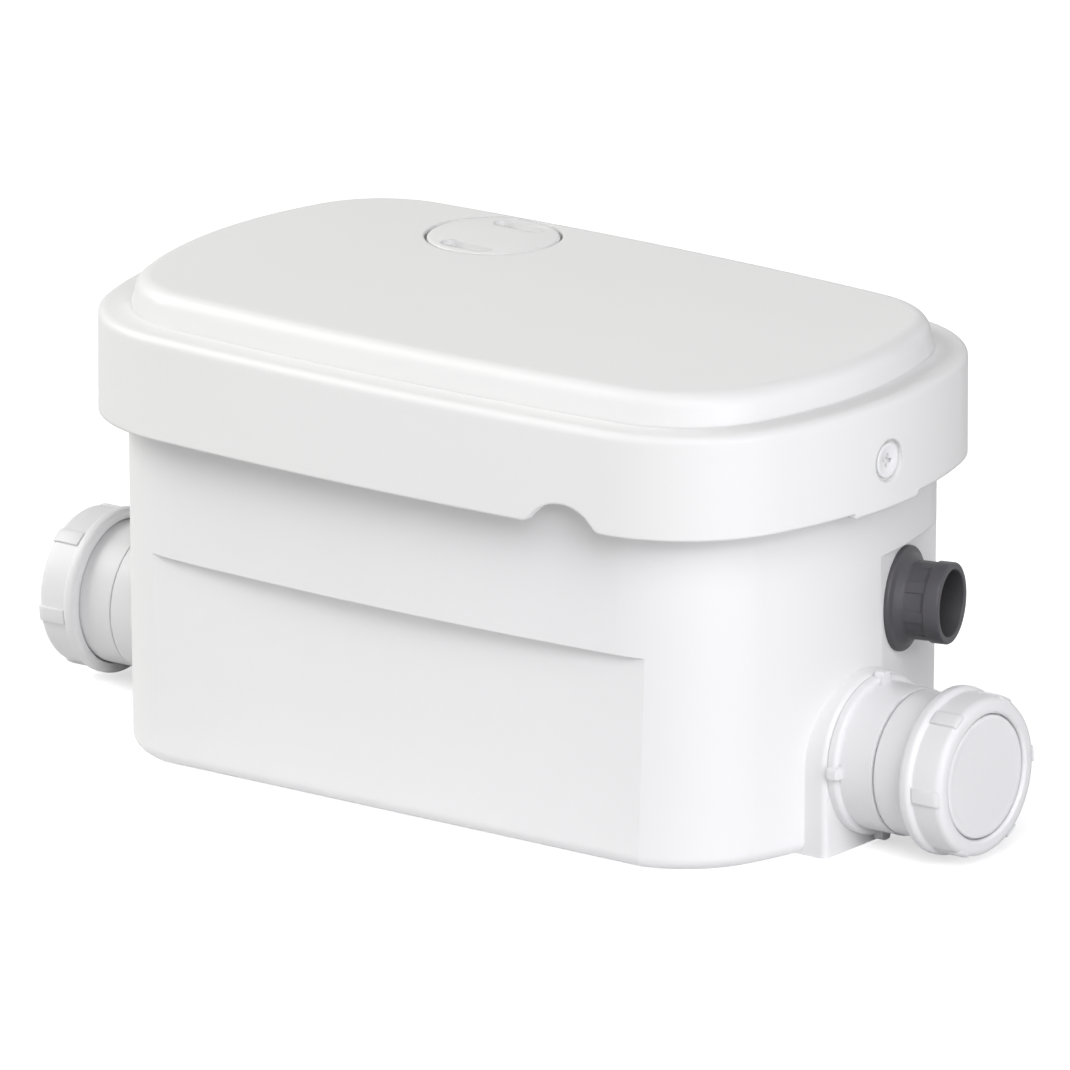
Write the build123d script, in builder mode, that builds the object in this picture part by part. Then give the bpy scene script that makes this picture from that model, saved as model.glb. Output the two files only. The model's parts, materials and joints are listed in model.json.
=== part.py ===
from build123d import *
import os
from math import atan2, cos, degrees, pi, radians, sin, sqrt, tan

os.makedirs("parts", exist_ok=True)

# Wastewater lifting station: a white tank with a lift-off lid, a capped waste inlet on
# each end, a dark discharge spigot on the right end, and a pump with its level switch
# inside. Millimetres. The origin is the middle of the base, on the surface the tank
# stands on. +X points to the discharge end, -Y to the front and +Z up.

# Plan of the lid: long and short arcs joined by corner arcs
lid_length = 300
lid_depth = 184
long_side_radius = 1252
short_side_radius = 162
corner_radius = 53

# Heights, from the lid's top down, and walls
lid_top = 166.3
plateau_height = 10.9
skirt_height = 36.2
rim_drop = 9.4
skirt_top = lid_top - plateau_height
skirt_foot = skirt_top - skirt_height
rim_height = skirt_top - rim_drop
lid_wall = 3
tank_wall = 3
tank_draft = 0.6
tank_base_fillet = 5
overhang = 10.24

# Raised plateau of the lid
plateau_ledge = 11.4
plateau_slope = 2.4
plateau_foot = 0.6
plateau_round = 5.5
skirt_round = 3

# Notch and tongues of the skirt's lower edge
notch_x = 79
notch_radius = 15.4
notch_height = 8
notch_lead = 4
tongue_width = 36
tongue_drop = 1.7

# Front panel and discharge facet
panel_depth = 16.2
panel_drop = 71.6
panel_setback = lid_depth / 2 - panel_depth
panel_top = rim_height - panel_drop
facet_angle = 15
facet_setback = 13
facet_drop = 50
facet_distance = lid_length / 2 - facet_setback
facet_top = rim_height - facet_drop

# Lid screws
screw_rise = 14.8
screw_height = skirt_foot + screw_rise
screw_head_diameter = 9.5
screw_cross_length = 5.9
screw_cross_width = 1.4
screw_head_height = 1.6
screw_recess_diameter = 14.5
screw_recess_depth = 1.6
screw_shank_diameter = 5
screw_clearance = 0.05
screw_socket = 2.2
screw_tip_length = 1
ear_plate = 2.4
ear_gap = 0.3
ear_rib = 3
ear_drop = 12
ear_step = 1
ear_foot = screw_height - ear_drop
ear_head = rim_height - ear_step
ear_slot_clearance = 0.3
square_nut_width = 8
square_nut_height = 2.4
square_nut_clearance = 0.3

# Vent plug and carbon filter
vent_end_distance = 96.5
vent_back_distance = 42.4
vent_x = vent_end_distance - lid_length / 2
vent_y = lid_depth / 2 - vent_back_distance
vent_seat_radius = 23.7
vent_gap = 0.9
vent_cap_height = 5
vent_pocket_length = 20
vent_pocket_width = 7
vent_pocket_offset = 15
vent_pocket_depth = 3.4
vent_ledge = 3
vent_seat_wall = 2.5
basket_wall = 2
basket_drop = 34
basket_clearance = 0.3
basket_slot_width = 3
basket_rim = 1.5
filter_clearance = 0.5
filter_round = 1
plug_lip = 4
oring_section = 2.4
oring_groove_clearance = 0.02
lip_clearance = 0.8
cap_round = 0.6
basket_tail = 11
chimney_gap = 3
chimney_wall = 2
chimney_bore = 12

# Inlets
inlet_height = 30.5
boss_radius = 28.5
boss_projection = 4.74
boss_depth = 34.5
boss_round = 2
boss_face = lid_length / 2 - overhang + boss_projection
boss_root = boss_face - boss_depth
inlet_flange_radius = 27.5
inlet_flange_thickness = 3.5
inlet_flange_end = boss_face + inlet_flange_thickness
inlet_flange_round = 1.3
lug_radius = 29.5
lug_width = 4.4
lug_round = 1.2
lug_setback = 1
lug_length = 3.8
lug_start = boss_face + lug_setback
collar_radius = 25.3
collar_length = 16.5
collar_root_round = 0.8
collar_edge_round = 0.4
collar_end = boss_face + collar_length
inlet_bore = 19
tail_radius = 22
tail_length = 16.5
tail_end = boss_face - tail_length
fit_clearance = 0.05
groove_gap = 0.8
sleeve_radius = 24.8
sleeve_length = 15
sleeve_end = collar_end + sleeve_length
sleeve_bore = 20.2
sleeve_thread_radius = 23.4
sleeve_thread_length = 7.2
sleeve_thread_end = sleeve_end + sleeve_thread_length
sleeve_spigot_radius = 23
sleeve_spigot_depth = 8
thread_pitch = 4
thread_depth = 0.9

# Union nut with its washer and blanking disc
nut_gap = 0.6
nut_length = 14.4
nut_start = sleeve_end + nut_gap
nut_end = nut_start + nut_length
nut_back_radius = 28.9
nut_flank_radius = 27.4
nut_front_radius = 26.9
nut_opening_radius = 21.75
nut_rib_count = 6
nut_rib_width = 3.4
nut_rib_radius = 28.7
nut_rib_fall = 0.6
nut_rib_round = 0.9
nut_band = 3
nut_band_round = 1.2
nut_front_round = 2
nut_opening_round = 0.6
nut_lip = 2.6
nut_thread_clearance = 0.3
right_rib_turn = 31
left_rib_turn = 2
disc_recess = 0.7
disc_rim_radius = 23.2
washer_thickness = 2.2
disc_gap = 0.3
disc_round = 0.6

# Inlet flap valves
flap_thickness = 2
flap_radius = 20.4
flap_pin_height = 25
pin_diameter = 2.4
knuckle_wall = 1.2
knuckle_length = 14
flap_ear_width = 2.5
flap_ear_gap = 0.4

# Discharge: spigot, check valve and riser
outlet_drop = 20
outlet_height = facet_top - outlet_drop
outlet_offset = -5.88
spigot_flange_radius = 18.1
spigot_flange_height = 4
spigot_cone_height = 1.6
spigot_cone_taper = 50
spigot_radius = 14
spigot_root_radius = 14.4
spigot_root_length = 11
spigot_tail_radius = 13.6
spigot_bore = 11.5
spigot_length = 17.9
spigot_tail_length = 12
spigot_bevel = 0.8
spigot_end = facet_distance + spigot_length
spigot_tail_start = facet_distance - spigot_tail_length
spigot_rib_count = 4
spigot_rib_width = 2.4
spigot_rib_reach = 2.4
spigot_rib_length = 7
spigot_rib_root = 1
valve_setback = 40
valve_neck = 11
valve_seat = facet_distance - valve_setback
valve_start = valve_seat - valve_neck
valve_wall = 3
chamber_gap = 1
valve_chamber_radius = 15
valve_seat_bore = 9
check_disc_radius = 10.6
check_disc_height = 2
check_pin_height = 11.6
check_pin_diameter = 2
check_knuckle_wall = 0.9
check_knuckle_length = 9
riser_radius = 10
riser_bore = 7.5
riser_bend = 16
riser_setback = 24
socket_depth = 6
riser_x = valve_start + socket_depth - riser_setback

# Pump and motor
pump_distance = 93
casing_outlet_offset = 32.13
outlet_y = riser_x * tan(radians(facet_angle)) + outlet_offset / cos(radians(facet_angle))
pump_x = riser_x - pump_distance
pump_y = outlet_y - casing_outlet_offset
casing_foot = 13
casing_head = 38
casing_radius = 41
casing_wall = 3
suction_radius = 12
coupling_length = 22
casing_outlet_reach = 49
coupling_x = pump_x + casing_outlet_reach
coupling_gap = 1
coupling_wall = 3
clamp_width = 6
clamp_margin = 1
clamp_thickness = 1
clamp_screw_length = 9
clamp_screw_radius = 2.5
impeller_radius = 28
impeller_plate = 2.5
impeller_height = 14
impeller_hub_radius = 7
blade_count = 6
blade_thickness = 2.2
blade_sweep = 6.33
blade_root = 0.5
blade_margin = 2
impeller_clearance = 1.5
strainer_radius = 33
strainer_wall = 2
strainer_slots = 18
strainer_slot_width = 3.4
shaft_radius = 4
shaft_clearance = 0.05
shaft_hole_gap = 0.3
shaft_bevel = 0.6
motor_radius = 41
motor_wall = 2
motor_drop = 8
motor_head = rim_height - motor_drop
motor_cap_height = 5
motor_cap_lip = 3
motor_cap_rim = motor_radius + motor_cap_lip
motor_cap_round = 2
motor_floor = 4
stator_bore = 20.5
stator_rise = 16
stator_drop = 32
stator_head = motor_head - stator_drop
stator_teeth = 12
stator_slot_depth = 9
stator_slot_mouth = 1
stator_slot_width = 4.5
winding_height = 9
winding_radius = 34
winding_bore = 24
winding_round = 2
rotor_radius = 20
bearing_radius = 11
bearing_width = 7
bearing_drop = 3
bearing_seat_wall = 2.5
seal_height = 6
seal_radius = 9
neck_length = 8
neck_wall = 4

# Dry tray
tray_gap = 0.5
tray_wall = 2
tray_depth = 46
tray_floor = rim_height - tray_depth
tray_flange = 2.5
tray_collar_height = 6
tray_collar_clearance = 0.3
gasket_height = 2
gasket_width = 4
gasket_inset = 2
rib_gap = 0.1
rib_setback = 0.2
rib_width = 1.8

# Electrics on the tray
capacitor_end_distance = 55
capacitor_x = lid_length / 2 - capacitor_end_distance
capacitor_y = 8
capacitor_radius = 14
capacitor_length = 52
capacitor_round = 1.2
tab_thickness = 0.8
tab_width = 6.3
tab_length = 8
clip_wall = 1.5
clip_width = 12
clip_foot_length = 42
terminal_end_distance = 110
terminal_back_distance = 37
terminal_x = lid_length / 2 - terminal_end_distance
terminal_y = lid_depth / 2 - terminal_back_distance
terminal_length = 46
terminal_width = 16
terminal_height = 15
terminal_ways = 4
terminal_screw_radius = 2.4
terminal_screw_height = 1.6
terminal_screw_gap = 0.1
terminal_bevel = 3
screw_slot_width = 0.8
gland_x = 0
gland_rise = 12
gland_height = tray_floor + gland_rise
gland_radius = 6
gland_bore = 3.6
gland_nut_radius = 6.5
gland_nut_length = 7
gland_flange = 3
gland_step = 0.5
gland_round = 1.5
lock_nut_length = 3.4
lock_nut_rim = 2
lock_nut_gap = 0.6
gland_thread_length = 6

# Level switch
switch_end_distance = 95
switch_front_distance = 52
switch_x = lid_length / 2 - switch_end_distance
switch_y = switch_front_distance - lid_depth / 2
dip_tube_radius = 9
dip_tube_wall = 2
dip_tube_foot = 26
housing_radius = 22
housing_height = 9
housing_wall = 2
membrane_thickness = 1.2
membrane_radius = 18
plunger_radius = 3
plunger_clearance = 0.05
plunger_travel = 2
plunger_gap = 0.1
cover_margin = 0.7
stem_reach = 2
stem_tip_length = 1
stem_tip_radius = 1.2
plunger_cap_radius = 9
plunger_cap_height = 1.6
lever_arm = 16.12
lever_tail = 4
button_arm = 9.1
lever_length = lever_arm + lever_tail
lever_width = 6
lever_thickness = 1
lever_gap = 0.3
lever_margin = 0.7
lever_knuckle = 1.5
lever_pin = 0.75
button_radius = 1.6
button_gap = 0.3
button_seat = 2.5
microswitch_length = 28
microswitch_width = 10
microswitch_height = 14
microswitch_bevel = 0.8
micro_overhang = 2
micro_ear_thickness = 1.4
micro_ear_width = 3.6
micro_ear_gap = 0.3
micro_pin_reach = 0.5
button_hole_depth = 4
post_width = 10


def plan_at(height, inset=0.0):
    """Plan of the lid at a height, drawn in all round by inset."""
    half_length = lid_length / 2 - inset
    half_depth = lid_depth / 2 - inset
    long_radius = long_side_radius - inset
    short_radius = short_side_radius - inset
    corner = corner_radius - inset
    long_centre = long_radius - half_depth
    short_centre = short_radius - half_length
    long_reach = long_radius - corner
    short_reach = short_radius - corner
    span = sqrt(long_centre**2 + short_centre**2)
    along = (long_reach**2 - short_reach**2 + span**2) / (2 * span)
    across = sqrt(long_reach**2 - along**2)
    ux, uy = -short_centre / span, -long_centre / span
    corner_x = along * ux - across * uy
    corner_y = long_centre + along * uy + across * ux
    corner_x, corner_y = abs(corner_x), abs(corner_y)
    long_turn = atan2(corner_x, corner_y + long_centre)
    short_turn = atan2(corner_y, corner_x + short_centre)
    top_point = (long_radius * sin(long_turn), long_radius * cos(long_turn) - long_centre)
    end_point = (short_radius * cos(short_turn) - short_centre, short_radius * sin(short_turn))
    middle_turn = (pi / 2 - long_turn + short_turn) / 2
    corner_point = (corner_x + corner * cos(middle_turn), corner_y + corner * sin(middle_turn))
    with BuildSketch(Plane.XY.offset(height), mode=Mode.PRIVATE) as plan:
        with BuildLine():
            for way in (1, -1):
                top_left = (-way * top_point[0], way * top_point[1])
                top_right = (way * top_point[0], way * top_point[1])
                corner_right = (way * corner_point[0], way * corner_point[1])
                end_high = (way * end_point[0], way * end_point[1])
                end_low = (way * end_point[0], -way * end_point[1])
                corner_low = (way * corner_point[0], -way * corner_point[1])
                bottom_right = (way * top_point[0], -way * top_point[1])
                ThreePointArc(top_left, (0, way * half_depth), top_right)
                ThreePointArc(top_right, corner_right, end_high)
                ThreePointArc(end_high, (way * half_length, 0), end_low)
                ThreePointArc(end_low, corner_low, bottom_right)
        make_face()
    return plan.sketch



def save(piece, name):
    """Labels a finished piece and writes its file."""
    piece.part.label = name
    export_step(piece.part, f"parts/{name}.step")


def end_plane(side, x, y=0.0, z=inlet_height):
    """Plane facing out of one end of the tank; side is 1 on the right and -1 on the left."""
    return Plane(origin=(side * x, y, z), x_dir=(0, side, 0), z_dir=(side, 0, 0))


def end_section_plane(side, turn=0.0):
    """Plane through an inlet's axis: x runs out along it and y points away from it."""
    across = radians(turn)
    return Plane(
        origin=(0, 0, inlet_height),
        x_dir=(side, 0, 0),
        z_dir=(0, -side * cos(across), -side * sin(across)),
    )


def outlet_point(distance, height=outlet_height, offset=outlet_offset):
    """Point on the discharge axis, measured out from the middle of the base."""
    turn = radians(facet_angle)
    x = distance * cos(turn) - offset * sin(turn)
    y = distance * sin(turn) + offset * cos(turn)
    return (x, y, height)


def outlet_plane(distance, height=outlet_height, offset=outlet_offset):
    """Plane square to the discharge axis, facing out."""
    turn = radians(facet_angle)
    return Plane(
        origin=outlet_point(distance, height, offset),
        x_dir=(-sin(turn), cos(turn), 0),
        z_dir=(cos(turn), sin(turn), 0),
    )


def outlet_section_plane(distance, turn):
    """Plane through the discharge axis: x runs out along it and y points away from it."""
    heading = radians(facet_angle)
    across = radians(turn)
    return Plane(
        origin=outlet_point(distance),
        x_dir=(cos(heading), sin(heading), 0),
        z_dir=(sin(heading) * sin(across), -cos(heading) * sin(across), cos(across)),
    )


def panel_foot_plane():
    """Upright plane across the front panel's foot, x running into the tank."""
    return Plane(origin=(0, -panel_setback, 0), x_dir=(0, 1, 0), z_dir=(1, 0, 0))


def facet_foot_plane():
    """Upright plane across the discharge facet's foot, x running into the tank."""
    turn = radians(facet_angle)
    return Plane(
        origin=outlet_point(facet_distance, 0),
        x_dir=(-cos(turn), -sin(turn), 0),
        z_dir=(-sin(turn), cos(turn), 0),
    )


def tank_hull(drawn_in, foot):
    """Tank body drawn in by a wall thickness, before its flats are cut."""
    shoulder = overhang + drawn_in
    foot_inset = shoulder + (skirt_foot - foot) * tan(radians(tank_draft))
    with BuildPart(mode=Mode.PRIVATE) as hull:
        loft([plan_at(foot, foot_inset), plan_at(skirt_foot, shoulder)], ruled=True)
        extrude(plan_at(skirt_foot, shoulder), amount=rim_height - skirt_foot)
    return hull.part


def tank_flats(drawn_in, foot):
    """Room in front of the front panel and of the discharge facet."""
    with BuildPart(mode=Mode.PRIVATE) as flats:
        with BuildSketch(Plane.XZ.offset(panel_setback - drawn_in)):
            with Locations((0, (foot + panel_top + drawn_in) / 2)):
                Rectangle(lid_length, panel_top + drawn_in - foot)
        extrude(amount=lid_depth / 2)
        with BuildSketch(outlet_plane(facet_distance - drawn_in, (foot + facet_top + drawn_in) / 2)):
            Rectangle(lid_length, facet_top + drawn_in - foot)
        extrude(amount=lid_length / 2)
    return flats.part


skirt_inner = lid_length / 2 - lid_wall
tank_half_length = lid_length / 2 - overhang
ear_face = skirt_inner - ear_gap
nut_face = ear_face - ear_plate
ear_half_width = square_nut_width / 2 + square_nut_clearance + ear_rib

# Tank
with BuildPart() as tank:
    add(tank_hull(0, 0))
    fillet(tank.faces().sort_by(Axis.Z)[0].edges(), tank_base_fillet)
    add(tank_flats(0, 0), mode=Mode.SUBTRACT)
    for foot_plane in (panel_foot_plane(), facet_foot_plane()):
        with BuildSketch(foot_plane):
            Rectangle(2 * tank_base_fillet, 2 * tank_base_fillet)
            with Locations((tank_base_fillet, tank_base_fillet)):
                Circle(tank_base_fillet, mode=Mode.SUBTRACT)
        extrude(amount=lid_length, both=True, mode=Mode.SUBTRACT)
    for side in (1, -1):
        with BuildSketch(end_plane(side, boss_root)):
            Circle(boss_radius)
            with Locations((0, -inlet_height / 2)):
                Rectangle(2 * boss_radius, inlet_height)
        extrude(amount=boss_face - boss_root)
        boss_rim = tank.faces().sort_by(Axis.X)[-1 if side > 0 else 0].edges()
        fillet(boss_rim.filter_by(Axis.Z) + boss_rim.filter_by(GeomType.CIRCLE), boss_round)
        with BuildSketch(end_plane(side, boss_root, 0, (ear_foot + ear_head) / 2)):
            Rectangle(2 * ear_half_width, ear_head - ear_foot)
        extrude(amount=ear_face - boss_root)
    with BuildSketch(outlet_plane(facet_distance)):
        Circle(spigot_flange_radius + fit_clearance)
    extrude(amount=lid_length / 2, mode=Mode.SUBTRACT)
    with BuildPart(mode=Mode.PRIVATE) as wet_space:
        add(tank_hull(tank_wall, tank_wall))
        add(tank_flats(tank_wall, tank_wall), mode=Mode.SUBTRACT)
    add(wet_space.part, mode=Mode.SUBTRACT)
    extrude(plan_at(rim_height, overhang + tank_wall), amount=-tank_wall, mode=Mode.SUBTRACT)
    for side in (1, -1):
        with BuildSketch(end_plane(side, tail_end)):
            Circle(tail_radius + fit_clearance)
        extrude(amount=boss_face, mode=Mode.SUBTRACT)
        with BuildSketch(end_plane(side, tank_half_length, 0, (ear_foot + ear_head) / 2 + ear_rib)):
            Rectangle(2 * (ear_half_width - ear_rib), ear_head - ear_foot)
        extrude(amount=nut_face - tank_half_length, mode=Mode.SUBTRACT)
        with BuildSketch(end_plane(side, nut_face, 0, screw_height)):
            SlotCenterPoint(
                (0, (ear_head - screw_height) / 2),
                (0, 0),
                screw_shank_diameter + 2 * ear_slot_clearance,
                rotation=0,
            )
            with Locations((0, ear_head - screw_height)):
                Rectangle(
                    screw_shank_diameter + 2 * ear_slot_clearance,
                    2 * (ear_head - screw_height),
                )
        extrude(amount=ear_plate, mode=Mode.SUBTRACT)
    with BuildSketch(outlet_plane(facet_distance - 2 * tank_wall)):
        Circle(spigot_tail_radius + fit_clearance)
    extrude(amount=3 * tank_wall, mode=Mode.SUBTRACT)
    with BuildSketch(Plane.XZ):
        with Locations((gland_x, gland_height)):
            Circle(gland_radius + fit_clearance)
    extrude(amount=-lid_depth, mode=Mode.SUBTRACT)
save(tank, "tank")

rib_inset = overhang + gasket_inset + rib_setback
flange_top = rim_height + tray_flange
gasket_top = flange_top + gasket_height
vent_ledge_height = lid_top - vent_cap_height - basket_rim
vent_plane = Plane(origin=(vent_x, vent_y, 0))

# Lid
with BuildPart(mode=Mode.PRIVATE) as plateau:
    extrude(plan_at(skirt_top - lid_wall, plateau_ledge), amount=lid_top - skirt_top + lid_wall)
    plateau_face = plateau.faces().sort_by(Axis.Z)[-1]
    chamfer(plateau_face.edges(), plateau_slope, lid_top - skirt_top - plateau_foot, reference=plateau_face)
    fillet(plateau.faces().sort_by(Axis.Z)[-1].edges(), plateau_round)

with BuildSketch(Plane.XZ.offset(lid_depth / 4), mode=Mode.PRIVATE) as skirt_edge:
    with Locations((notch_x, skirt_foot + notch_radius)):
        Rectangle(4 * notch_radius, 2 * notch_radius)
    with Locations((notch_x, skirt_foot + notch_height - notch_radius)):
        Circle(notch_radius, mode=Mode.SUBTRACT)
    notch_middle = (notch_x, -lid_depth / 4, skirt_foot)
    fillet(skirt_edge.vertices().sort_by_distance(notch_middle)[0:2], notch_lead)

with BuildPart() as lid:
    extrude(plan_at(skirt_foot), amount=skirt_top - skirt_foot)
    fillet(lid.faces().sort_by(Axis.Z)[-1].edges(), skirt_round)
    with BuildSketch(Plane.XY.offset(skirt_foot)):
        add(plan_at(0))
        Rectangle(2 * lid_length, tongue_width, mode=Mode.INTERSECT)
    extrude(amount=-tongue_drop)
    add(plateau.part)
    ceiling = skirt_top - lid_wall
    tongue_foot = skirt_foot - tongue_drop
    extrude(plan_at(tongue_foot, lid_wall), amount=ceiling - tongue_foot, mode=Mode.SUBTRACT)
    hollow_foot = plan_at(ceiling, plateau_ledge + lid_wall)
    hollow_top = plan_at(lid_top - lid_wall, plateau_ledge + plateau_slope + lid_wall)
    loft([hollow_foot, hollow_top], ruled=True, mode=Mode.SUBTRACT)
    rib_foot = gasket_top + rib_gap
    extrude(plan_at(rib_foot, rib_inset), amount=ceiling - rib_foot)
    extrude(plan_at(rib_foot, rib_inset + rib_width), amount=ceiling - rib_foot, mode=Mode.SUBTRACT)
    with BuildSketch(Plane.XZ.offset(lid_depth / 4)):
        with Locations((notch_x, skirt_foot)):
            Rectangle(3 * notch_radius, 2 * notch_height)
        add(skirt_edge.sketch, mode=Mode.SUBTRACT)
    extrude(amount=lid_depth / 4 + 1, mode=Mode.SUBTRACT)
    with BuildSketch(vent_plane.offset(vent_ledge_height - vent_seat_wall)):
        Circle(vent_seat_radius + vent_seat_wall)
    extrude(amount=lid_top - lid_wall / 2 - vent_ledge_height + vent_seat_wall)
    with BuildSketch(vent_plane.offset(vent_ledge_height)):
        Circle(vent_seat_radius)
    extrude(amount=lid_top, mode=Mode.SUBTRACT)
    with BuildSketch(vent_plane.offset(vent_ledge_height - vent_seat_wall)):
        Circle(vent_seat_radius - vent_ledge)
    extrude(amount=lid_top, mode=Mode.SUBTRACT)
    for side in (1, -1):
        with BuildSketch(end_plane(side, lid_length / 2 - screw_recess_depth, 0, screw_height)):
            Circle(screw_recess_diameter / 2)
        extrude(amount=lid_wall, mode=Mode.SUBTRACT)
        with BuildSketch(end_plane(side, skirt_inner - lid_wall, 0, screw_height)):
            Circle(screw_shank_diameter / 2 + screw_clearance)
        extrude(amount=3 * lid_wall, mode=Mode.SUBTRACT)
save(lid, "lid")

# Lid screws and their square nuts
for side, word in ((1, "right"), (-1, "left")):
    head_seat = lid_length / 2 - screw_recess_depth
    screw_tip = nut_face - square_nut_height - screw_tip_length
    with BuildPart() as lid_screw:
        with BuildSketch(end_plane(side, head_seat, 0, screw_height)):
            Circle(screw_head_diameter / 2)
        extrude(amount=screw_head_height)
        with BuildSketch(end_plane(side, screw_tip, 0, screw_height)):
            Circle(screw_shank_diameter / 2)
        extrude(amount=head_seat - screw_tip)
        with BuildSketch(end_plane(side, head_seat + screw_head_height, 0, screw_height)):
            Rectangle(screw_cross_length, screw_cross_width)
            Rectangle(screw_cross_width, screw_cross_length)
        extrude(amount=-screw_socket, mode=Mode.SUBTRACT)
    save(lid_screw, f"lid_screw_{word}")
    with BuildPart() as square_nut:
        with BuildSketch(end_plane(side, nut_face - square_nut_height, 0, screw_height)):
            Rectangle(square_nut_width, square_nut_width)
            Circle(screw_shank_diameter / 2 + screw_clearance, mode=Mode.SUBTRACT)
        extrude(amount=square_nut_height)
    save(square_nut, f"lid_screw_nut_{word}")

# Gasket between the lid and the tray
with BuildPart() as lid_gasket:
    extrude(plan_at(flange_top, overhang + gasket_inset), amount=gasket_height)
    gasket_inner = plan_at(flange_top, overhang + gasket_inset + gasket_width)
    extrude(gasket_inner, amount=gasket_height, mode=Mode.SUBTRACT)
save(lid_gasket, "lid_gasket")

# Vent cap with its finger pockets
cap_seat = lid_top - vent_cap_height
cap_radius = vent_seat_radius - vent_gap
basket_radius = vent_seat_radius - vent_ledge - basket_clearance
basket_bore = basket_radius - basket_wall
lip_radius = basket_bore - lip_clearance
oring_centre_x = vent_x + basket_bore - basket_clearance - oring_section / 2
with BuildPart() as vent_cap:
    with BuildSketch(vent_plane.offset(cap_seat)):
        Circle(cap_radius)
    extrude(amount=vent_cap_height)
    fillet(vent_cap.faces().sort_by(Axis.Z)[-1].edges(), cap_round)
    with BuildSketch(vent_plane.offset(cap_seat - plug_lip)):
        Circle(lip_radius)
        Circle(lip_radius - basket_wall - oring_section / 2, mode=Mode.SUBTRACT)
    extrude(amount=plug_lip)
    with BuildSketch(vent_plane.offset(lid_top)):
        with Locations((0, vent_pocket_offset), (0, -vent_pocket_offset)):
            SlotOverall(vent_pocket_length, vent_pocket_width)
    extrude(amount=-vent_pocket_depth, mode=Mode.SUBTRACT)
    with BuildSketch(Plane.XZ.offset(-vent_y)):
        with Locations((oring_centre_x, cap_seat - plug_lip / 2)):
            Circle(oring_section / 2 + oring_groove_clearance)
    revolve(axis=Axis((vent_x, vent_y, 0), (0, 0, 1)), mode=Mode.SUBTRACT)
save(vent_cap, "vent_cap")

with BuildPart() as vent_oring:
    with BuildSketch(Plane.XZ.offset(-vent_y)):
        with Locations((oring_centre_x, cap_seat - plug_lip / 2)):
            Circle(oring_section / 2)
    revolve(axis=Axis((vent_x, vent_y, 0), (0, 0, 1)))
save(vent_oring, "vent_oring")

# Filter basket and its carbon cartridge
basket_foot = cap_seat - basket_drop
basket_tail_radius = chimney_bore - chimney_wall
chimney_top = basket_foot - chimney_gap
with BuildPart() as filter_basket:
    with BuildSketch(vent_plane.offset(basket_foot)):
        Circle(basket_radius)
    extrude(amount=basket_drop)
    with BuildSketch(vent_plane.offset(cap_seat - basket_rim)):
        Circle(vent_seat_radius - basket_clearance)
    extrude(amount=basket_rim)
    with BuildSketch(vent_plane.offset(basket_foot - basket_tail)):
        Circle(basket_tail_radius)
    extrude(amount=basket_tail)
    with BuildSketch(vent_plane.offset(basket_foot + basket_wall)):
        Circle(basket_bore)
    extrude(amount=basket_drop, mode=Mode.SUBTRACT)
    with BuildSketch(vent_plane.offset(basket_foot - basket_tail)):
        Circle(basket_tail_radius - basket_wall)
    extrude(amount=basket_tail + basket_wall, mode=Mode.SUBTRACT)
    with BuildSketch(Plane.XZ.offset(-vent_y)):
        with Locations((vent_x, basket_foot + basket_drop / 2)):
            SlotOverall(basket_drop / 2, basket_slot_width, rotation=90)
    extrude(amount=2 * basket_radius, both=True, mode=Mode.SUBTRACT)
    with BuildSketch(Plane.YZ.offset(vent_x)):
        with Locations((vent_y, basket_foot + basket_drop / 2)):
            SlotOverall(basket_drop / 2, basket_slot_width, rotation=90)
    extrude(amount=2 * basket_radius, both=True, mode=Mode.SUBTRACT)
save(filter_basket, "filter_basket")

with BuildPart() as carbon_filter:
    with BuildSketch(vent_plane.offset(basket_foot + basket_wall)):
        Circle(basket_bore - filter_clearance)
    extrude(amount=basket_drop - basket_wall - plug_lip - filter_clearance)
    fillet(carbon_filter.edges().filter_by(GeomType.CIRCLE), filter_round)
save(carbon_filter, "carbon_filter")

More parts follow.
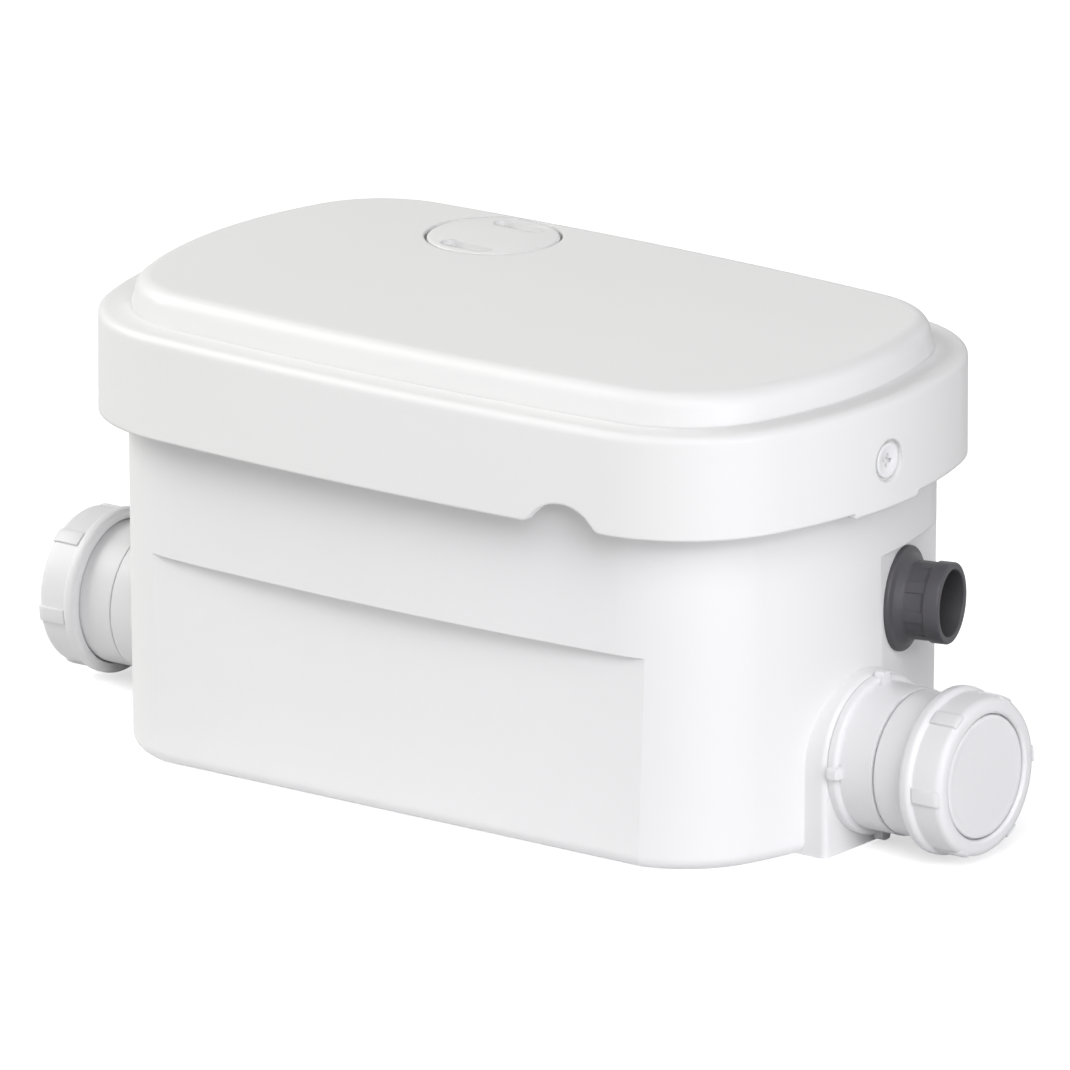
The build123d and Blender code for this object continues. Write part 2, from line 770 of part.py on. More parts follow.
# Waste inlets, one on each end
for side, word in ((1, "right"), (-1, "left")):
    with BuildPart() as connector:
        with BuildSketch(end_section_plane(side)) as half_section:
            with BuildLine():
                Polyline(
                    (tail_end, inlet_bore),
                    (tail_end, tail_radius),
                    (boss_face, tail_radius),
                    (boss_face, inlet_flange_radius),
                    (inlet_flange_end, inlet_flange_radius),
                    (inlet_flange_end, collar_radius),
                    (collar_end, collar_radius),
                    (collar_end, inlet_bore),
                    close=True,
                )
            make_face()
            corners = half_section.vertices()
            fillet(corners.sort_by_distance((inlet_flange_end, inlet_flange_radius))[0], inlet_flange_round)
            fillet(corners.sort_by_distance((inlet_flange_end, collar_radius))[0], collar_root_round)
            fillet(corners.sort_by_distance((collar_end, collar_radius))[0], collar_edge_round)
        revolve(axis=Axis((0, 0, inlet_height), (1, 0, 0)))
        with BuildSketch(end_plane(side, lug_start)) as lugs:
            with PolarLocations(0, 2, 0, 180):
                Rectangle(2 * lug_radius, lug_width)
            Circle(lug_radius, mode=Mode.INTERSECT)
            fillet(lugs.vertices().group_by(SortBy.DISTANCE)[-1], lug_round)
            Circle(inlet_bore, mode=Mode.SUBTRACT)
        extrude(amount=lug_length)
        with BuildSketch(end_plane(side, collar_end - sleeve_spigot_depth)):
            Circle(sleeve_spigot_radius + fit_clearance)
        extrude(amount=collar_end, mode=Mode.SUBTRACT)
        ear_centre = knuckle_length / 2 + flap_ear_gap + flap_ear_width / 2
        ear_round = pin_diameter / 2 + knuckle_wall
        for across in (ear_centre, -ear_centre):
            ear_plane = Plane.XZ.offset(-across - flap_ear_width / 2)
            with BuildSketch(ear_plane):
                pin_x = side * (tail_end - flap_thickness / 2)
                with Locations((pin_x, inlet_height + flap_pin_height)):
                    Circle(ear_round)
                with Locations((pin_x + side * ear_round, inlet_height + flap_pin_height - ear_round)):
                    Rectangle(2 * ear_round, 4 * ear_round)
                with Locations((pin_x, inlet_height + flap_pin_height)):
                    Circle(pin_diameter / 2 + fit_clearance, mode=Mode.SUBTRACT)
            extrude(amount=flap_ear_width)
        with BuildSketch(end_plane(side, tail_end)):
            Circle(inlet_bore)
        extrude(amount=collar_end - tail_end, mode=Mode.SUBTRACT)
        with BuildSketch(end_plane(side, tail_end)):
            Circle(tail_radius)
        extrude(amount=-2 * ear_round, mode=Mode.SUBTRACT)
    save(connector, f"inlet_connector_{word}")

    with BuildPart() as flap_pin:
        with BuildSketch(Plane.XZ.offset(-ear_centre - flap_ear_width / 2)):
            with Locations((pin_x, inlet_height + flap_pin_height)):
                Circle(pin_diameter / 2)
        extrude(amount=2 * ear_centre + flap_ear_width)
    save(flap_pin, f"inlet_flap_pin_{word}")

    with BuildPart() as flap:
        with BuildSketch(end_plane(side, tail_end - flap_thickness)):
            Circle(flap_radius)
            with Locations((0, flap_pin_height - ear_round)):
                Rectangle(knuckle_length, 2 * ear_round + knuckle_wall)
        extrude(amount=flap_thickness)
        with BuildSketch(Plane.XZ.offset(-knuckle_length / 2)):
            with Locations((pin_x, inlet_height + flap_pin_height)):
                Circle(ear_round)
        extrude(amount=knuckle_length)
        with BuildSketch(Plane.XZ.offset(-knuckle_length / 2)):
            with Locations((pin_x, inlet_height + flap_pin_height)):
                Circle(pin_diameter / 2 + fit_clearance)
        extrude(amount=knuckle_length, mode=Mode.SUBTRACT)
    save(flap, f"inlet_flap_{word}")

    with BuildPart() as sleeve:
        with BuildSketch(end_plane(side, collar_end - sleeve_spigot_depth)):
            Circle(sleeve_spigot_radius)
        extrude(amount=sleeve_spigot_depth + groove_gap)
        with BuildSketch(end_plane(side, collar_end + groove_gap)):
            Circle(sleeve_radius)
        extrude(amount=sleeve_end - collar_end - groove_gap)
        with BuildSketch(end_plane(side, sleeve_end)):
            Circle(sleeve_thread_radius - thread_depth)
        extrude(amount=sleeve_thread_end - sleeve_end)
        for turn in range(int((sleeve_thread_end - sleeve_end) / thread_pitch)):
            ridge = sleeve_end + thread_pitch * (turn + 0.5)
            with BuildSketch(end_plane(side, ridge)):
                Circle(sleeve_thread_radius)
            extrude(amount=thread_pitch / 2)
        with BuildSketch(end_plane(side, 0)):
            Circle(sleeve_bore)
        extrude(amount=lid_length, mode=Mode.SUBTRACT)
    save(sleeve, f"inlet_sleeve_{word}")

    washer_start = sleeve_thread_end + disc_gap
    disc_start = washer_start + washer_thickness
    disc_face = nut_end - disc_recess
    with BuildPart() as washer:
        with BuildSketch(end_plane(side, washer_start)):
            Circle(disc_rim_radius)
            Circle(sleeve_bore, mode=Mode.SUBTRACT)
        extrude(amount=washer_thickness)
    save(washer, f"inlet_washer_{word}")

    with BuildPart() as blank:
        with BuildSketch(end_plane(side, disc_start)):
            Circle(disc_rim_radius)
        extrude(amount=nut_end - nut_lip - disc_gap - disc_start)
        with BuildSketch(end_plane(side, disc_start)):
            Circle(nut_opening_radius - disc_gap)
        extrude(amount=disc_face - disc_start)
        front = blank.faces().sort_by(Axis.X)[-1 if side > 0 else 0]
        fillet(front.edges(), disc_round)
    save(blank, f"blanking_disc_{word}")

    with BuildPart() as union_nut:
        nut_flank_start = nut_start + nut_band
        nut_lip_start = nut_end - nut_lip
        nut_thread_bore = sleeve_thread_radius + nut_thread_clearance
        with BuildSketch(end_section_plane(side)) as half_section:
            with BuildLine():
                Polyline(
                    (nut_start, nut_thread_bore),
                    (nut_start, nut_back_radius),
                    (nut_flank_start, nut_back_radius),
                    (nut_flank_start, nut_flank_radius),
                    (nut_end, nut_front_radius),
                    (nut_end, nut_opening_radius),
                    (nut_lip_start, nut_opening_radius),
                    (nut_lip_start, nut_thread_bore),
                    close=True,
                )
            make_face()
            corners = half_section.vertices()
            fillet(corners.sort_by_distance((nut_start, nut_back_radius))[0], nut_band_round)
            fillet(corners.sort_by_distance((nut_flank_start, nut_back_radius))[0], nut_band_round)
            fillet(corners.sort_by_distance((nut_end, nut_front_radius))[0], nut_front_round)
            fillet(corners.sort_by_distance((nut_end, nut_opening_radius))[0], nut_opening_round)
        revolve(axis=Axis((0, 0, inlet_height), (1, 0, 0)))
        rib_turn = right_rib_turn if side > 0 else left_rib_turn
        rib_bottom = nut_front_radius - nut_front_round
        rib_front = nut_end - nut_front_round
        for rib in range(nut_rib_count):
            rib_place = side * rib_turn + 360 / nut_rib_count * rib
            with BuildSketch(end_section_plane(side, rib_place)) as rib_side:
                with BuildLine():
                    Polyline(
                        (nut_start + nut_band / 2, rib_bottom),
                        (nut_start + nut_band / 2, nut_rib_radius),
                        (rib_front, nut_rib_radius - nut_rib_fall),
                        (rib_front, rib_bottom),
                        close=True,
                    )
                make_face()
                tip = (rib_front, nut_rib_radius - nut_rib_fall)
                fillet(rib_side.vertices().sort_by_distance(tip)[0], nut_rib_round)
            extrude(amount=nut_rib_width / 2, both=True)
    save(union_nut, f"union_nut_{word}")

riser_start = coupling_x + coupling_gap / 2
outlet_z = (casing_foot + casing_head) / 2
pump_plane = Plane(origin=(pump_x, pump_y, 0))

# Discharge spigot
with BuildPart() as spigot:
    with BuildSketch(outlet_plane(facet_distance)):
        Circle(spigot_radius)
    extrude(amount=spigot_length)
    chamfer(spigot.edges().filter_by(GeomType.CIRCLE).sort_by(Axis.X)[-1], spigot_bevel)
    with BuildSketch(outlet_plane(facet_distance)):
        Circle(spigot_root_radius)
    extrude(amount=spigot_root_length)
    with BuildSketch(outlet_plane(spigot_tail_start)):
        Circle(spigot_tail_radius)
    extrude(amount=spigot_tail_length)
    with BuildSketch(outlet_plane(facet_distance)):
        Circle(spigot_flange_radius)
    extrude(amount=spigot_flange_height - spigot_cone_height)
    with BuildSketch(outlet_plane(facet_distance + spigot_flange_height - spigot_cone_height)):
        Circle(spigot_flange_radius)
    extrude(amount=spigot_cone_height, taper=spigot_cone_taper)
    rib_foot = facet_distance + spigot_flange_height - spigot_cone_height
    for turn in range(spigot_rib_count):
        with BuildSketch(outlet_section_plane(rib_foot, 360 / spigot_rib_count * turn)):
            with BuildLine():
                Polyline(
                    (0, spigot_radius - spigot_rib_root),
                    (0, spigot_radius + spigot_rib_reach),
                    (spigot_rib_length, spigot_root_radius),
                    (spigot_rib_length, spigot_radius - spigot_rib_root),
                    close=True,
                )
            make_face()
        extrude(amount=spigot_rib_width / 2, both=True)
    with BuildSketch(outlet_plane(spigot_tail_start)):
        Circle(spigot_bore)
    extrude(amount=spigot_end, mode=Mode.SUBTRACT)
save(spigot, "discharge_spigot")

# Check valve between the riser and the spigot
inner_face = facet_distance - tank_wall
chamber_end = spigot_tail_start - chamber_gap
with BuildPart() as check_body:
    with BuildSketch(outlet_plane(valve_start)):
        Circle(riser_radius + valve_wall)
    extrude(amount=valve_seat - valve_start)
    with BuildSketch(outlet_plane(valve_seat - valve_wall)):
        Circle(valve_chamber_radius + valve_wall)
    extrude(amount=inner_face - valve_seat + valve_wall)
    with BuildSketch(outlet_plane(valve_start)):
        Circle(riser_radius + fit_clearance)
    extrude(amount=socket_depth, mode=Mode.SUBTRACT)
    with BuildSketch(outlet_plane(valve_start)):
        Circle(valve_seat_bore)
    extrude(amount=valve_seat - valve_start, mode=Mode.SUBTRACT)
    with BuildSketch(outlet_plane(valve_seat)):
        Circle(valve_chamber_radius)
    extrude(amount=chamber_end - valve_seat, mode=Mode.SUBTRACT)
    with BuildSketch(outlet_plane(chamber_end)):
        Circle(spigot_tail_radius + fit_clearance)
    extrude(amount=inner_face - chamber_end, mode=Mode.SUBTRACT)
    across_axis = Plane(
        origin=outlet_point(valve_seat + check_disc_height, outlet_height + check_pin_height),
        x_dir=(cos(radians(facet_angle)), sin(radians(facet_angle)), 0),
        z_dir=(-sin(radians(facet_angle)), cos(radians(facet_angle)), 0),
    )
    with BuildSketch(across_axis):
        Circle(check_pin_diameter / 2 + fit_clearance)
    extrude(amount=valve_chamber_radius, both=True, mode=Mode.SUBTRACT)
save(check_body, "check_valve_body")

with BuildPart() as check_pin:
    with BuildSketch(across_axis):
        Circle(check_pin_diameter / 2)
    pin_reach = sqrt((valve_chamber_radius + valve_wall)**2 - (check_pin_height + check_pin_diameter / 2)**2)
    extrude(amount=pin_reach, both=True)
save(check_pin, "check_valve_pin")

check_knuckle = check_pin_diameter / 2 + check_knuckle_wall
with BuildPart() as check_flap:
    with BuildSketch(outlet_plane(valve_seat)):
        Circle(check_disc_radius)
        with Locations((0, check_pin_height - check_knuckle)):
            Rectangle(check_knuckle_length, 2 * check_knuckle)
    extrude(amount=check_disc_height)
    with BuildSketch(across_axis):
        Circle(check_knuckle)
    extrude(amount=check_knuckle_length / 2, both=True)
    with BuildSketch(across_axis):
        Circle(check_pin_diameter / 2 + fit_clearance)
    extrude(amount=check_knuckle_length, both=True, mode=Mode.SUBTRACT)
save(check_flap, "check_valve_flap")

# Riser pipe from the pump to the check valve
with BuildPart() as riser:
    with BuildLine() as riser_path:
        FilletPolyline(
            (riser_start, outlet_y, outlet_z),
            (riser_x, outlet_y, outlet_z),
            (riser_x, outlet_y, outlet_height),
            outlet_point(valve_start + socket_depth),
            radius=riser_bend,
        )
    with BuildSketch(Plane(origin=(riser_start, outlet_y, outlet_z), z_dir=(1, 0, 0))):
        Circle(riser_radius)
        Circle(riser_bore, mode=Mode.SUBTRACT)
    sweep(path=riser_path.line)
save(riser, "riser_pipe")

# Rubber coupling and its clamps
coupling_plane = Plane(origin=(coupling_x, outlet_y, outlet_z), x_dir=(0, 1, 0), z_dir=(1, 0, 0))
coupling_outer = riser_radius + fit_clearance + coupling_wall
with BuildPart() as coupling:
    with BuildSketch(coupling_plane):
        Circle(coupling_outer)
        Circle(riser_radius + fit_clearance, mode=Mode.SUBTRACT)
    extrude(amount=coupling_length / 2, both=True)
save(coupling, "rubber_coupling")

with BuildPart() as clamps:
    clamp_shift = coupling_length / 2 - clamp_width / 2 - clamp_margin
    for shift in (-clamp_shift, clamp_shift):
        with BuildSketch(coupling_plane.offset(shift)):
            Circle(coupling_outer + clamp_thickness)
            with Locations((0, coupling_outer + clamp_screw_radius)):
                Rectangle(clamp_screw_length, 2 * clamp_screw_radius)
            Circle(coupling_outer, mode=Mode.SUBTRACT)
        extrude(amount=clamp_width / 2, both=True)
save(clamps, "coupling_clamps")

# Pump casing with its tangential outlet
with BuildPart() as casing:
    with BuildSketch(pump_plane.offset(casing_foot)):
        Circle(casing_radius)
    extrude(amount=casing_head - casing_wall - casing_foot)
    with BuildSketch(Plane(origin=(pump_x, outlet_y, outlet_z), x_dir=(0, 1, 0), z_dir=(1, 0, 0))):
        Circle(riser_radius)
    extrude(amount=coupling_x - coupling_gap / 2 - pump_x)
    with BuildSketch(pump_plane.offset(casing_head - casing_wall)):
        Circle(casing_radius)
    extrude(amount=casing_head, mode=Mode.SUBTRACT)
    with BuildSketch(pump_plane.offset(casing_foot + casing_wall)):
        Circle(casing_radius - casing_wall)
    extrude(amount=casing_head, mode=Mode.SUBTRACT)
    with BuildSketch(Plane(origin=(pump_x, outlet_y, outlet_z), x_dir=(0, 1, 0), z_dir=(1, 0, 0))):
        Circle(riser_bore)
    extrude(amount=coupling_x - pump_x, mode=Mode.SUBTRACT)
    with BuildSketch(pump_plane):
        Circle(suction_radius)
    extrude(amount=casing_head, mode=Mode.SUBTRACT)
save(casing, "pump_casing")

motor_foot = casing_head + neck_length
neck_radius = seal_radius + neck_wall
stator_foot = motor_foot + motor_floor + stator_rise
with BuildPart() as pump_cover:
    with BuildSketch(pump_plane.offset(casing_head - casing_wall)):
        Circle(casing_radius)
        Circle(seal_radius + fit_clearance, mode=Mode.SUBTRACT)
    extrude(amount=casing_wall)
save(pump_cover, "pump_cover")

impeller_top = casing_head - casing_wall - impeller_clearance
impeller_foot = impeller_top - impeller_height
with BuildPart() as impeller:
    with BuildSketch(pump_plane.offset(impeller_top - impeller_plate)):
        Circle(impeller_radius)
    extrude(amount=impeller_plate)
    with BuildSketch(pump_plane.offset(impeller_foot)):
        Circle(impeller_hub_radius)
    extrude(amount=impeller_height)
    with BuildSketch(pump_plane.offset(impeller_foot)):
        blade_length = impeller_radius - impeller_hub_radius
        with PolarLocations(impeller_hub_radius, blade_count, 0):
            with BuildLine():
                inner_low = (-blade_root, -blade_thickness / 2)
                outer_low = (blade_length - blade_margin, -blade_sweep - blade_thickness / 2)
                outer_high = (blade_length - blade_margin, -blade_sweep + blade_thickness / 2)
                inner_high = (-blade_root, blade_thickness / 2)
                Polyline(inner_low, outer_low, outer_high, inner_high, close=True)
            make_face()
    extrude(amount=impeller_height - impeller_plate / 2)
    with BuildSketch(pump_plane):
        Circle(shaft_radius + fit_clearance)
    extrude(amount=casing_head, mode=Mode.SUBTRACT)
save(impeller, "impeller")

with BuildPart() as strainer:
    with BuildSketch(pump_plane.offset(tank_wall)):
        Circle(strainer_radius)
        Circle(strainer_radius - strainer_wall, mode=Mode.SUBTRACT)
    extrude(amount=casing_foot - tank_wall)
    for slot in range(strainer_slots):
        turn = radians(360 / strainer_slots * slot)
        slot_plane = Plane(
            origin=(pump_x, pump_y, (tank_wall + casing_foot) / 2),
            x_dir=(-sin(turn), cos(turn), 0),
            z_dir=(cos(turn), sin(turn), 0),
        )
        with BuildSketch(slot_plane):
            Rectangle(strainer_slot_width, casing_foot - tank_wall - 2 * strainer_wall)
        extrude(amount=2 * strainer_radius, mode=Mode.SUBTRACT)
save(strainer, "strainer")

# Motor
bearing_foot = motor_foot + motor_floor
upper_bearing = motor_head - bearing_width - bearing_drop
with BuildPart() as motor_can:
    with BuildSketch(pump_plane.offset(motor_foot)):
        Circle(motor_radius)
    extrude(amount=motor_head - motor_foot)
    with BuildSketch(pump_plane.offset(tray_floor + tray_collar_height)):
        Circle(motor_cap_rim)
    extrude(amount=tray_flange)
    with BuildSketch(pump_plane.offset(casing_head)):
        Circle(neck_radius)
    extrude(amount=motor_foot - casing_head)
    with BuildSketch(pump_plane.offset(bearing_foot)):
        Circle(motor_radius - motor_wall)
    extrude(amount=motor_head, mode=Mode.SUBTRACT)
    with BuildSketch(pump_plane.offset(bearing_foot)):
        Circle(bearing_radius + fit_clearance + bearing_seat_wall)
        Circle(bearing_radius + fit_clearance, mode=Mode.SUBTRACT)
    extrude(amount=bearing_width)
    with BuildSketch(pump_plane.offset(casing_head)):
        Circle(seal_radius + fit_clearance)
    extrude(amount=seal_height, mode=Mode.SUBTRACT)
    with BuildSketch(pump_plane.offset(casing_head)):
        Circle(shaft_radius + shaft_hole_gap)
    extrude(amount=motor_head, mode=Mode.SUBTRACT)
save(motor_can, "motor_can")

with BuildPart() as motor_cap:
    with BuildSketch(pump_plane.offset(motor_head)):
        Circle(motor_cap_rim)
    extrude(amount=motor_cap_height)
    fillet(motor_cap.faces().sort_by(Axis.Z)[-1].edges(), motor_cap_round)
    with BuildSketch(pump_plane.offset(upper_bearing)):
        Circle(bearing_radius + fit_clearance + bearing_seat_wall)
        Circle(bearing_radius + fit_clearance, mode=Mode.SUBTRACT)
    extrude(amount=motor_head - upper_bearing)
save(motor_cap, "motor_cap")

with BuildPart() as stator:
    with BuildSketch(pump_plane.offset(stator_foot)):
        Circle(motor_radius - motor_wall - fit_clearance)
        Circle(stator_bore, mode=Mode.SUBTRACT)
        with PolarLocations(stator_bore + stator_slot_depth / 2, stator_teeth):
            Rectangle(stator_slot_depth + stator_slot_mouth, stator_slot_width, mode=Mode.SUBTRACT)
    extrude(amount=stator_head - stator_foot)
save(stator, "stator")

with BuildPart() as windings:
    for foot in (stator_foot - winding_height, stator_head):
        with BuildSketch(pump_plane.offset(foot)):
            Circle(winding_radius)
            Circle(winding_bore, mode=Mode.SUBTRACT)
        extrude(amount=winding_height)
    fillet(windings.edges().filter_by(GeomType.CIRCLE), winding_round)
save(windings, "windings")

with BuildPart() as rotor:
    with BuildSketch(pump_plane.offset(stator_foot)):
        Circle(rotor_radius)
        Circle(shaft_radius + fit_clearance, mode=Mode.SUBTRACT)
    extrude(amount=stator_head - stator_foot)
save(rotor, "rotor")

with BuildPart() as shaft:
    with BuildSketch(pump_plane.offset(impeller_foot)):
        Circle(shaft_radius)
    extrude(amount=upper_bearing + bearing_width - impeller_foot)
    chamfer(shaft.edges().filter_by(GeomType.CIRCLE), shaft_bevel)
save(shaft, "motor_shaft")

with BuildPart() as bearings:
    for foot in (bearing_foot, upper_bearing):
        with BuildSketch(pump_plane.offset(foot)):
            Circle(bearing_radius)
            Circle(shaft_radius + shaft_clearance, mode=Mode.SUBTRACT)
        extrude(amount=bearing_width)
save(bearings, "motor_bearings")

with BuildPart() as shaft_seal:
    with BuildSketch(pump_plane.offset(casing_head - casing_wall)):
        Circle(seal_radius)
        Circle(shaft_radius + shaft_clearance, mode=Mode.SUBTRACT)
    extrude(amount=casing_wall + seal_height)
save(shaft_seal, "shaft_seal")

# Dry tray
basin_inset = overhang + tank_wall + tray_gap
with BuildPart() as tray:
    extrude(plan_at(rim_height, overhang), amount=tray_flange)
    extrude(plan_at(tray_floor, basin_inset), amount=rim_height - tray_floor)
    extrude(plan_at(tray_floor + tray_wall, basin_inset + tray_wall), amount=rim_height, mode=Mode.SUBTRACT)
    with BuildSketch(pump_plane.offset(tray_floor)):
        Circle(motor_radius + tray_collar_clearance + tray_wall)
    extrude(amount=tray_collar_height)
    with BuildSketch(vent_plane.offset(tray_floor)):
        Circle(chimney_bore + tray_wall / 2)
    extrude(amount=chimney_top - tray_floor)
    with BuildSketch(pump_plane.offset(tray_floor)):
        Circle(motor_radius + tray_collar_clearance)
    extrude(amount=tray_collar_height, mode=Mode.SUBTRACT)
    with BuildSketch(vent_plane.offset(tray_floor)):
        Circle(basket_tail_radius + basket_clearance)
    extrude(amount=chimney_top, mode=Mode.SUBTRACT)
    with BuildSketch(Plane(origin=(switch_x, switch_y, tray_floor))):
        Circle(dip_tube_radius + fit_clearance)
    extrude(amount=tray_wall, mode=Mode.SUBTRACT)
    with BuildSketch(Plane.XZ):
        with Locations((gland_x, gland_height)):
            Circle(gland_radius + fit_clearance)
    extrude(amount=-lid_depth, mode=Mode.SUBTRACT)
save(tray, "dry_tray")

# Mains cable gland in the back wall
gland_seat = lid_depth / 2 - overhang
gland_plane = Plane(origin=(gland_x, 0, gland_height), x_dir=(-1, 0, 0), z_dir=(0, 1, 0))
tray_back = lid_depth / 2 - basin_inset - tray_wall
with BuildPart() as gland:
    with BuildSketch(gland_plane.offset(tray_back - gland_thread_length)):
        Circle(gland_radius)
    extrude(amount=gland_seat - tray_back + gland_thread_length)
    with BuildSketch(gland_plane.offset(gland_seat)):
        RegularPolygon(gland_nut_radius, 6)
    extrude(amount=gland_flange)
    with BuildSketch(gland_plane.offset(gland_seat + gland_flange)):
        Circle(gland_radius - gland_step)
    extrude(amount=gland_nut_length)
    fillet(gland.faces().sort_by(Axis.Y)[-1].edges(), gland_round)
    with BuildSketch(gland_plane):
        Circle(gland_bore)
    extrude(amount=lid_depth, mode=Mode.SUBTRACT)
save(gland, "cable_gland")

with BuildPart() as gland_nut:
    with BuildSketch(gland_plane.offset(tray_back - lock_nut_gap - lock_nut_length)):
        RegularPolygon(gland_nut_radius + lock_nut_rim, 6)
        Circle(gland_radius + fit_clearance, mode=Mode.SUBTRACT)
    extrude(amount=lock_nut_length)
save(gland_nut, "cable_gland_nut")

# Capacitor and its clip
floor_top = tray_floor + tray_wall
capacitor_height = floor_top + clip_wall + capacitor_radius + fit_clearance
capacitor_centre = (capacitor_x, capacitor_y, capacitor_height)
capacitor_plane = Plane(origin=capacitor_centre, x_dir=(1, 0, 0), z_dir=(0, 1, 0))
with BuildPart() as capacitor:
    with BuildSketch(capacitor_plane):
        Circle(capacitor_radius)
    extrude(amount=capacitor_length / 2, both=True)
    fillet(capacitor.edges().filter_by(GeomType.CIRCLE), capacitor_round)
    with BuildSketch(capacitor_plane.offset(capacitor_length / 2)):
        with Locations((-capacitor_radius / 2, 0), (capacitor_radius / 2, 0)):
            Rectangle(tab_thickness, tab_width)
    extrude(amount=tab_length)
save(capacitor, "capacitor")

with BuildPart() as clip:
    with BuildSketch(capacitor_plane):
        Circle(capacitor_radius + fit_clearance + clip_wall)
        with Locations((0, capacitor_height - floor_top - clip_wall / 2)):
            Rectangle(clip_foot_length, clip_wall)
        Circle(capacitor_radius + fit_clearance, mode=Mode.SUBTRACT)
    extrude(amount=clip_width / 2, both=True)
save(clip, "capacitor_clip")

# Terminal block
terminal_plane = Plane(origin=(terminal_x, terminal_y, floor_top + terminal_height))
with BuildPart() as terminal:
    with BuildSketch(Plane(origin=(terminal_x, terminal_y, floor_top))):
        Rectangle(terminal_length, terminal_width)
    extrude(amount=terminal_height)
    chamfer(terminal.faces().sort_by(Axis.Z)[-1].edges().filter_by(Axis.X), terminal_bevel)
    with BuildSketch(terminal_plane):
        with GridLocations(terminal_length / terminal_ways, 0, terminal_ways, 1):
            Circle(terminal_screw_radius + terminal_screw_gap)
    extrude(amount=-2 * terminal_screw_height, mode=Mode.SUBTRACT)
    with BuildSketch(Plane.XZ.offset(-terminal_y)):
        with Locations((terminal_x, floor_top + terminal_height / 2)):
            with GridLocations(terminal_length / terminal_ways, 0, terminal_ways, 1):
                Circle(terminal_screw_radius)
    extrude(amount=terminal_width, both=True, mode=Mode.SUBTRACT)
save(terminal, "terminal_block")

with BuildPart() as terminal_screws:
    with BuildSketch(terminal_plane.offset(-2 * terminal_screw_height)):
        with GridLocations(terminal_length / terminal_ways, 0, terminal_ways, 1):
            Circle(terminal_screw_radius)
    extrude(amount=terminal_screw_height)
    with BuildSketch(terminal_plane.offset(-terminal_screw_height)):
        with GridLocations(terminal_length / terminal_ways, 0, terminal_ways, 1):
            Rectangle(screw_slot_width, 3 * terminal_screw_radius)
    extrude(amount=-terminal_screw_height / 2, mode=Mode.SUBTRACT)
save(terminal_screws, "terminal_screws")

# Level switch: dip tube, housing, membrane, plunger, lever and microswitch
switch_plane = Plane(origin=(switch_x, switch_y, 0))
housing_foot = floor_top
membrane_height = housing_foot + housing_height
cover_foot = membrane_height + membrane_thickness
cap_foot = cover_foot + plunger_gap
cover_room = plunger_gap + plunger_cap_height + plunger_travel + cover_margin
cover_top = cover_foot + cover_room + housing_wall
with BuildPart() as dip_tube:
    with BuildSketch(switch_plane.offset(dip_tube_foot)):
        Circle(dip_tube_radius)
        Circle(dip_tube_radius - dip_tube_wall, mode=Mode.SUBTRACT)
    extrude(amount=housing_foot + housing_wall - dip_tube_foot)
save(dip_tube, "dip_tube")

with BuildPart() as housing:
    with BuildSketch(switch_plane.offset(housing_foot)):
        Circle(housing_radius)
    extrude(amount=housing_height)
    with BuildSketch(switch_plane.offset(housing_foot + housing_wall)):
        Circle(membrane_radius)
    extrude(amount=housing_height, mode=Mode.SUBTRACT)
    with BuildSketch(switch_plane):
        Circle(dip_tube_radius + fit_clearance)
    extrude(amount=membrane_height, mode=Mode.SUBTRACT)
save(housing, "switch_housing")

with BuildPart() as membrane:
    with BuildSketch(switch_plane.offset(membrane_height)):
        Circle(housing_radius)
    extrude(amount=membrane_thickness)
save(membrane, "switch_membrane")

stem_tip = cover_top + stem_reach
with BuildPart() as plunger:
    with BuildSketch(switch_plane.offset(cap_foot)):
        Circle(plunger_cap_radius)
    extrude(amount=plunger_cap_height)
    with BuildSketch(switch_plane.offset(cap_foot)):
        Circle(plunger_radius)
    extrude(amount=stem_tip - stem_tip_length - cap_foot)
    with BuildSketch(switch_plane.offset(cap_foot)):
        Circle(stem_tip_radius)
    extrude(amount=stem_tip - cap_foot)
save(plunger, "switch_plunger")

lever_foot = stem_tip + lever_gap
lever_pivot_x = switch_x + lever_arm
button_x = lever_pivot_x - button_arm
lever_sweep = plunger_travel * lever_length / lever_arm
micro_foot = lever_foot + lever_thickness + lever_sweep + lever_margin
micro_x = lever_pivot_x - microswitch_length / 2 + micro_overhang
with BuildPart() as switch_cover:
    with BuildSketch(switch_plane.offset(cover_foot)):
        Circle(housing_radius)
    extrude(amount=cover_top - cover_foot)
    with BuildSketch(switch_plane.offset(cover_foot)):
        Circle(membrane_radius)
    extrude(amount=cover_room, mode=Mode.SUBTRACT)
    with BuildSketch(switch_plane):
        Circle(plunger_radius + plunger_clearance)
    extrude(amount=cover_top, mode=Mode.SUBTRACT)
    post_y = switch_y + microswitch_width / 2 + housing_wall / 2
    with BuildSketch(Plane(origin=(switch_x + post_width / 2, post_y, cover_top))):
        Rectangle(post_width, housing_wall)
    extrude(amount=micro_foot + microswitch_height - cover_top)
save(switch_cover, "switch_cover")

pivot_plane = Plane.XZ.offset(-switch_y)
pivot_height = lever_foot + lever_thickness / 2
with BuildPart() as lever:
    with BuildSketch(Plane(origin=(lever_pivot_x - lever_length / 2, switch_y, lever_foot))):
        Rectangle(lever_length, lever_width)
    extrude(amount=lever_thickness)
    with BuildSketch(pivot_plane):
        with Locations((lever_pivot_x, pivot_height)):
            Circle(lever_knuckle)
    extrude(amount=lever_width / 2, both=True)
    with BuildSketch(pivot_plane):
        with Locations((lever_pivot_x, pivot_height)):
            Circle(lever_pin + fit_clearance)
    extrude(amount=lever_width, both=True, mode=Mode.SUBTRACT)
save(lever, "switch_lever")

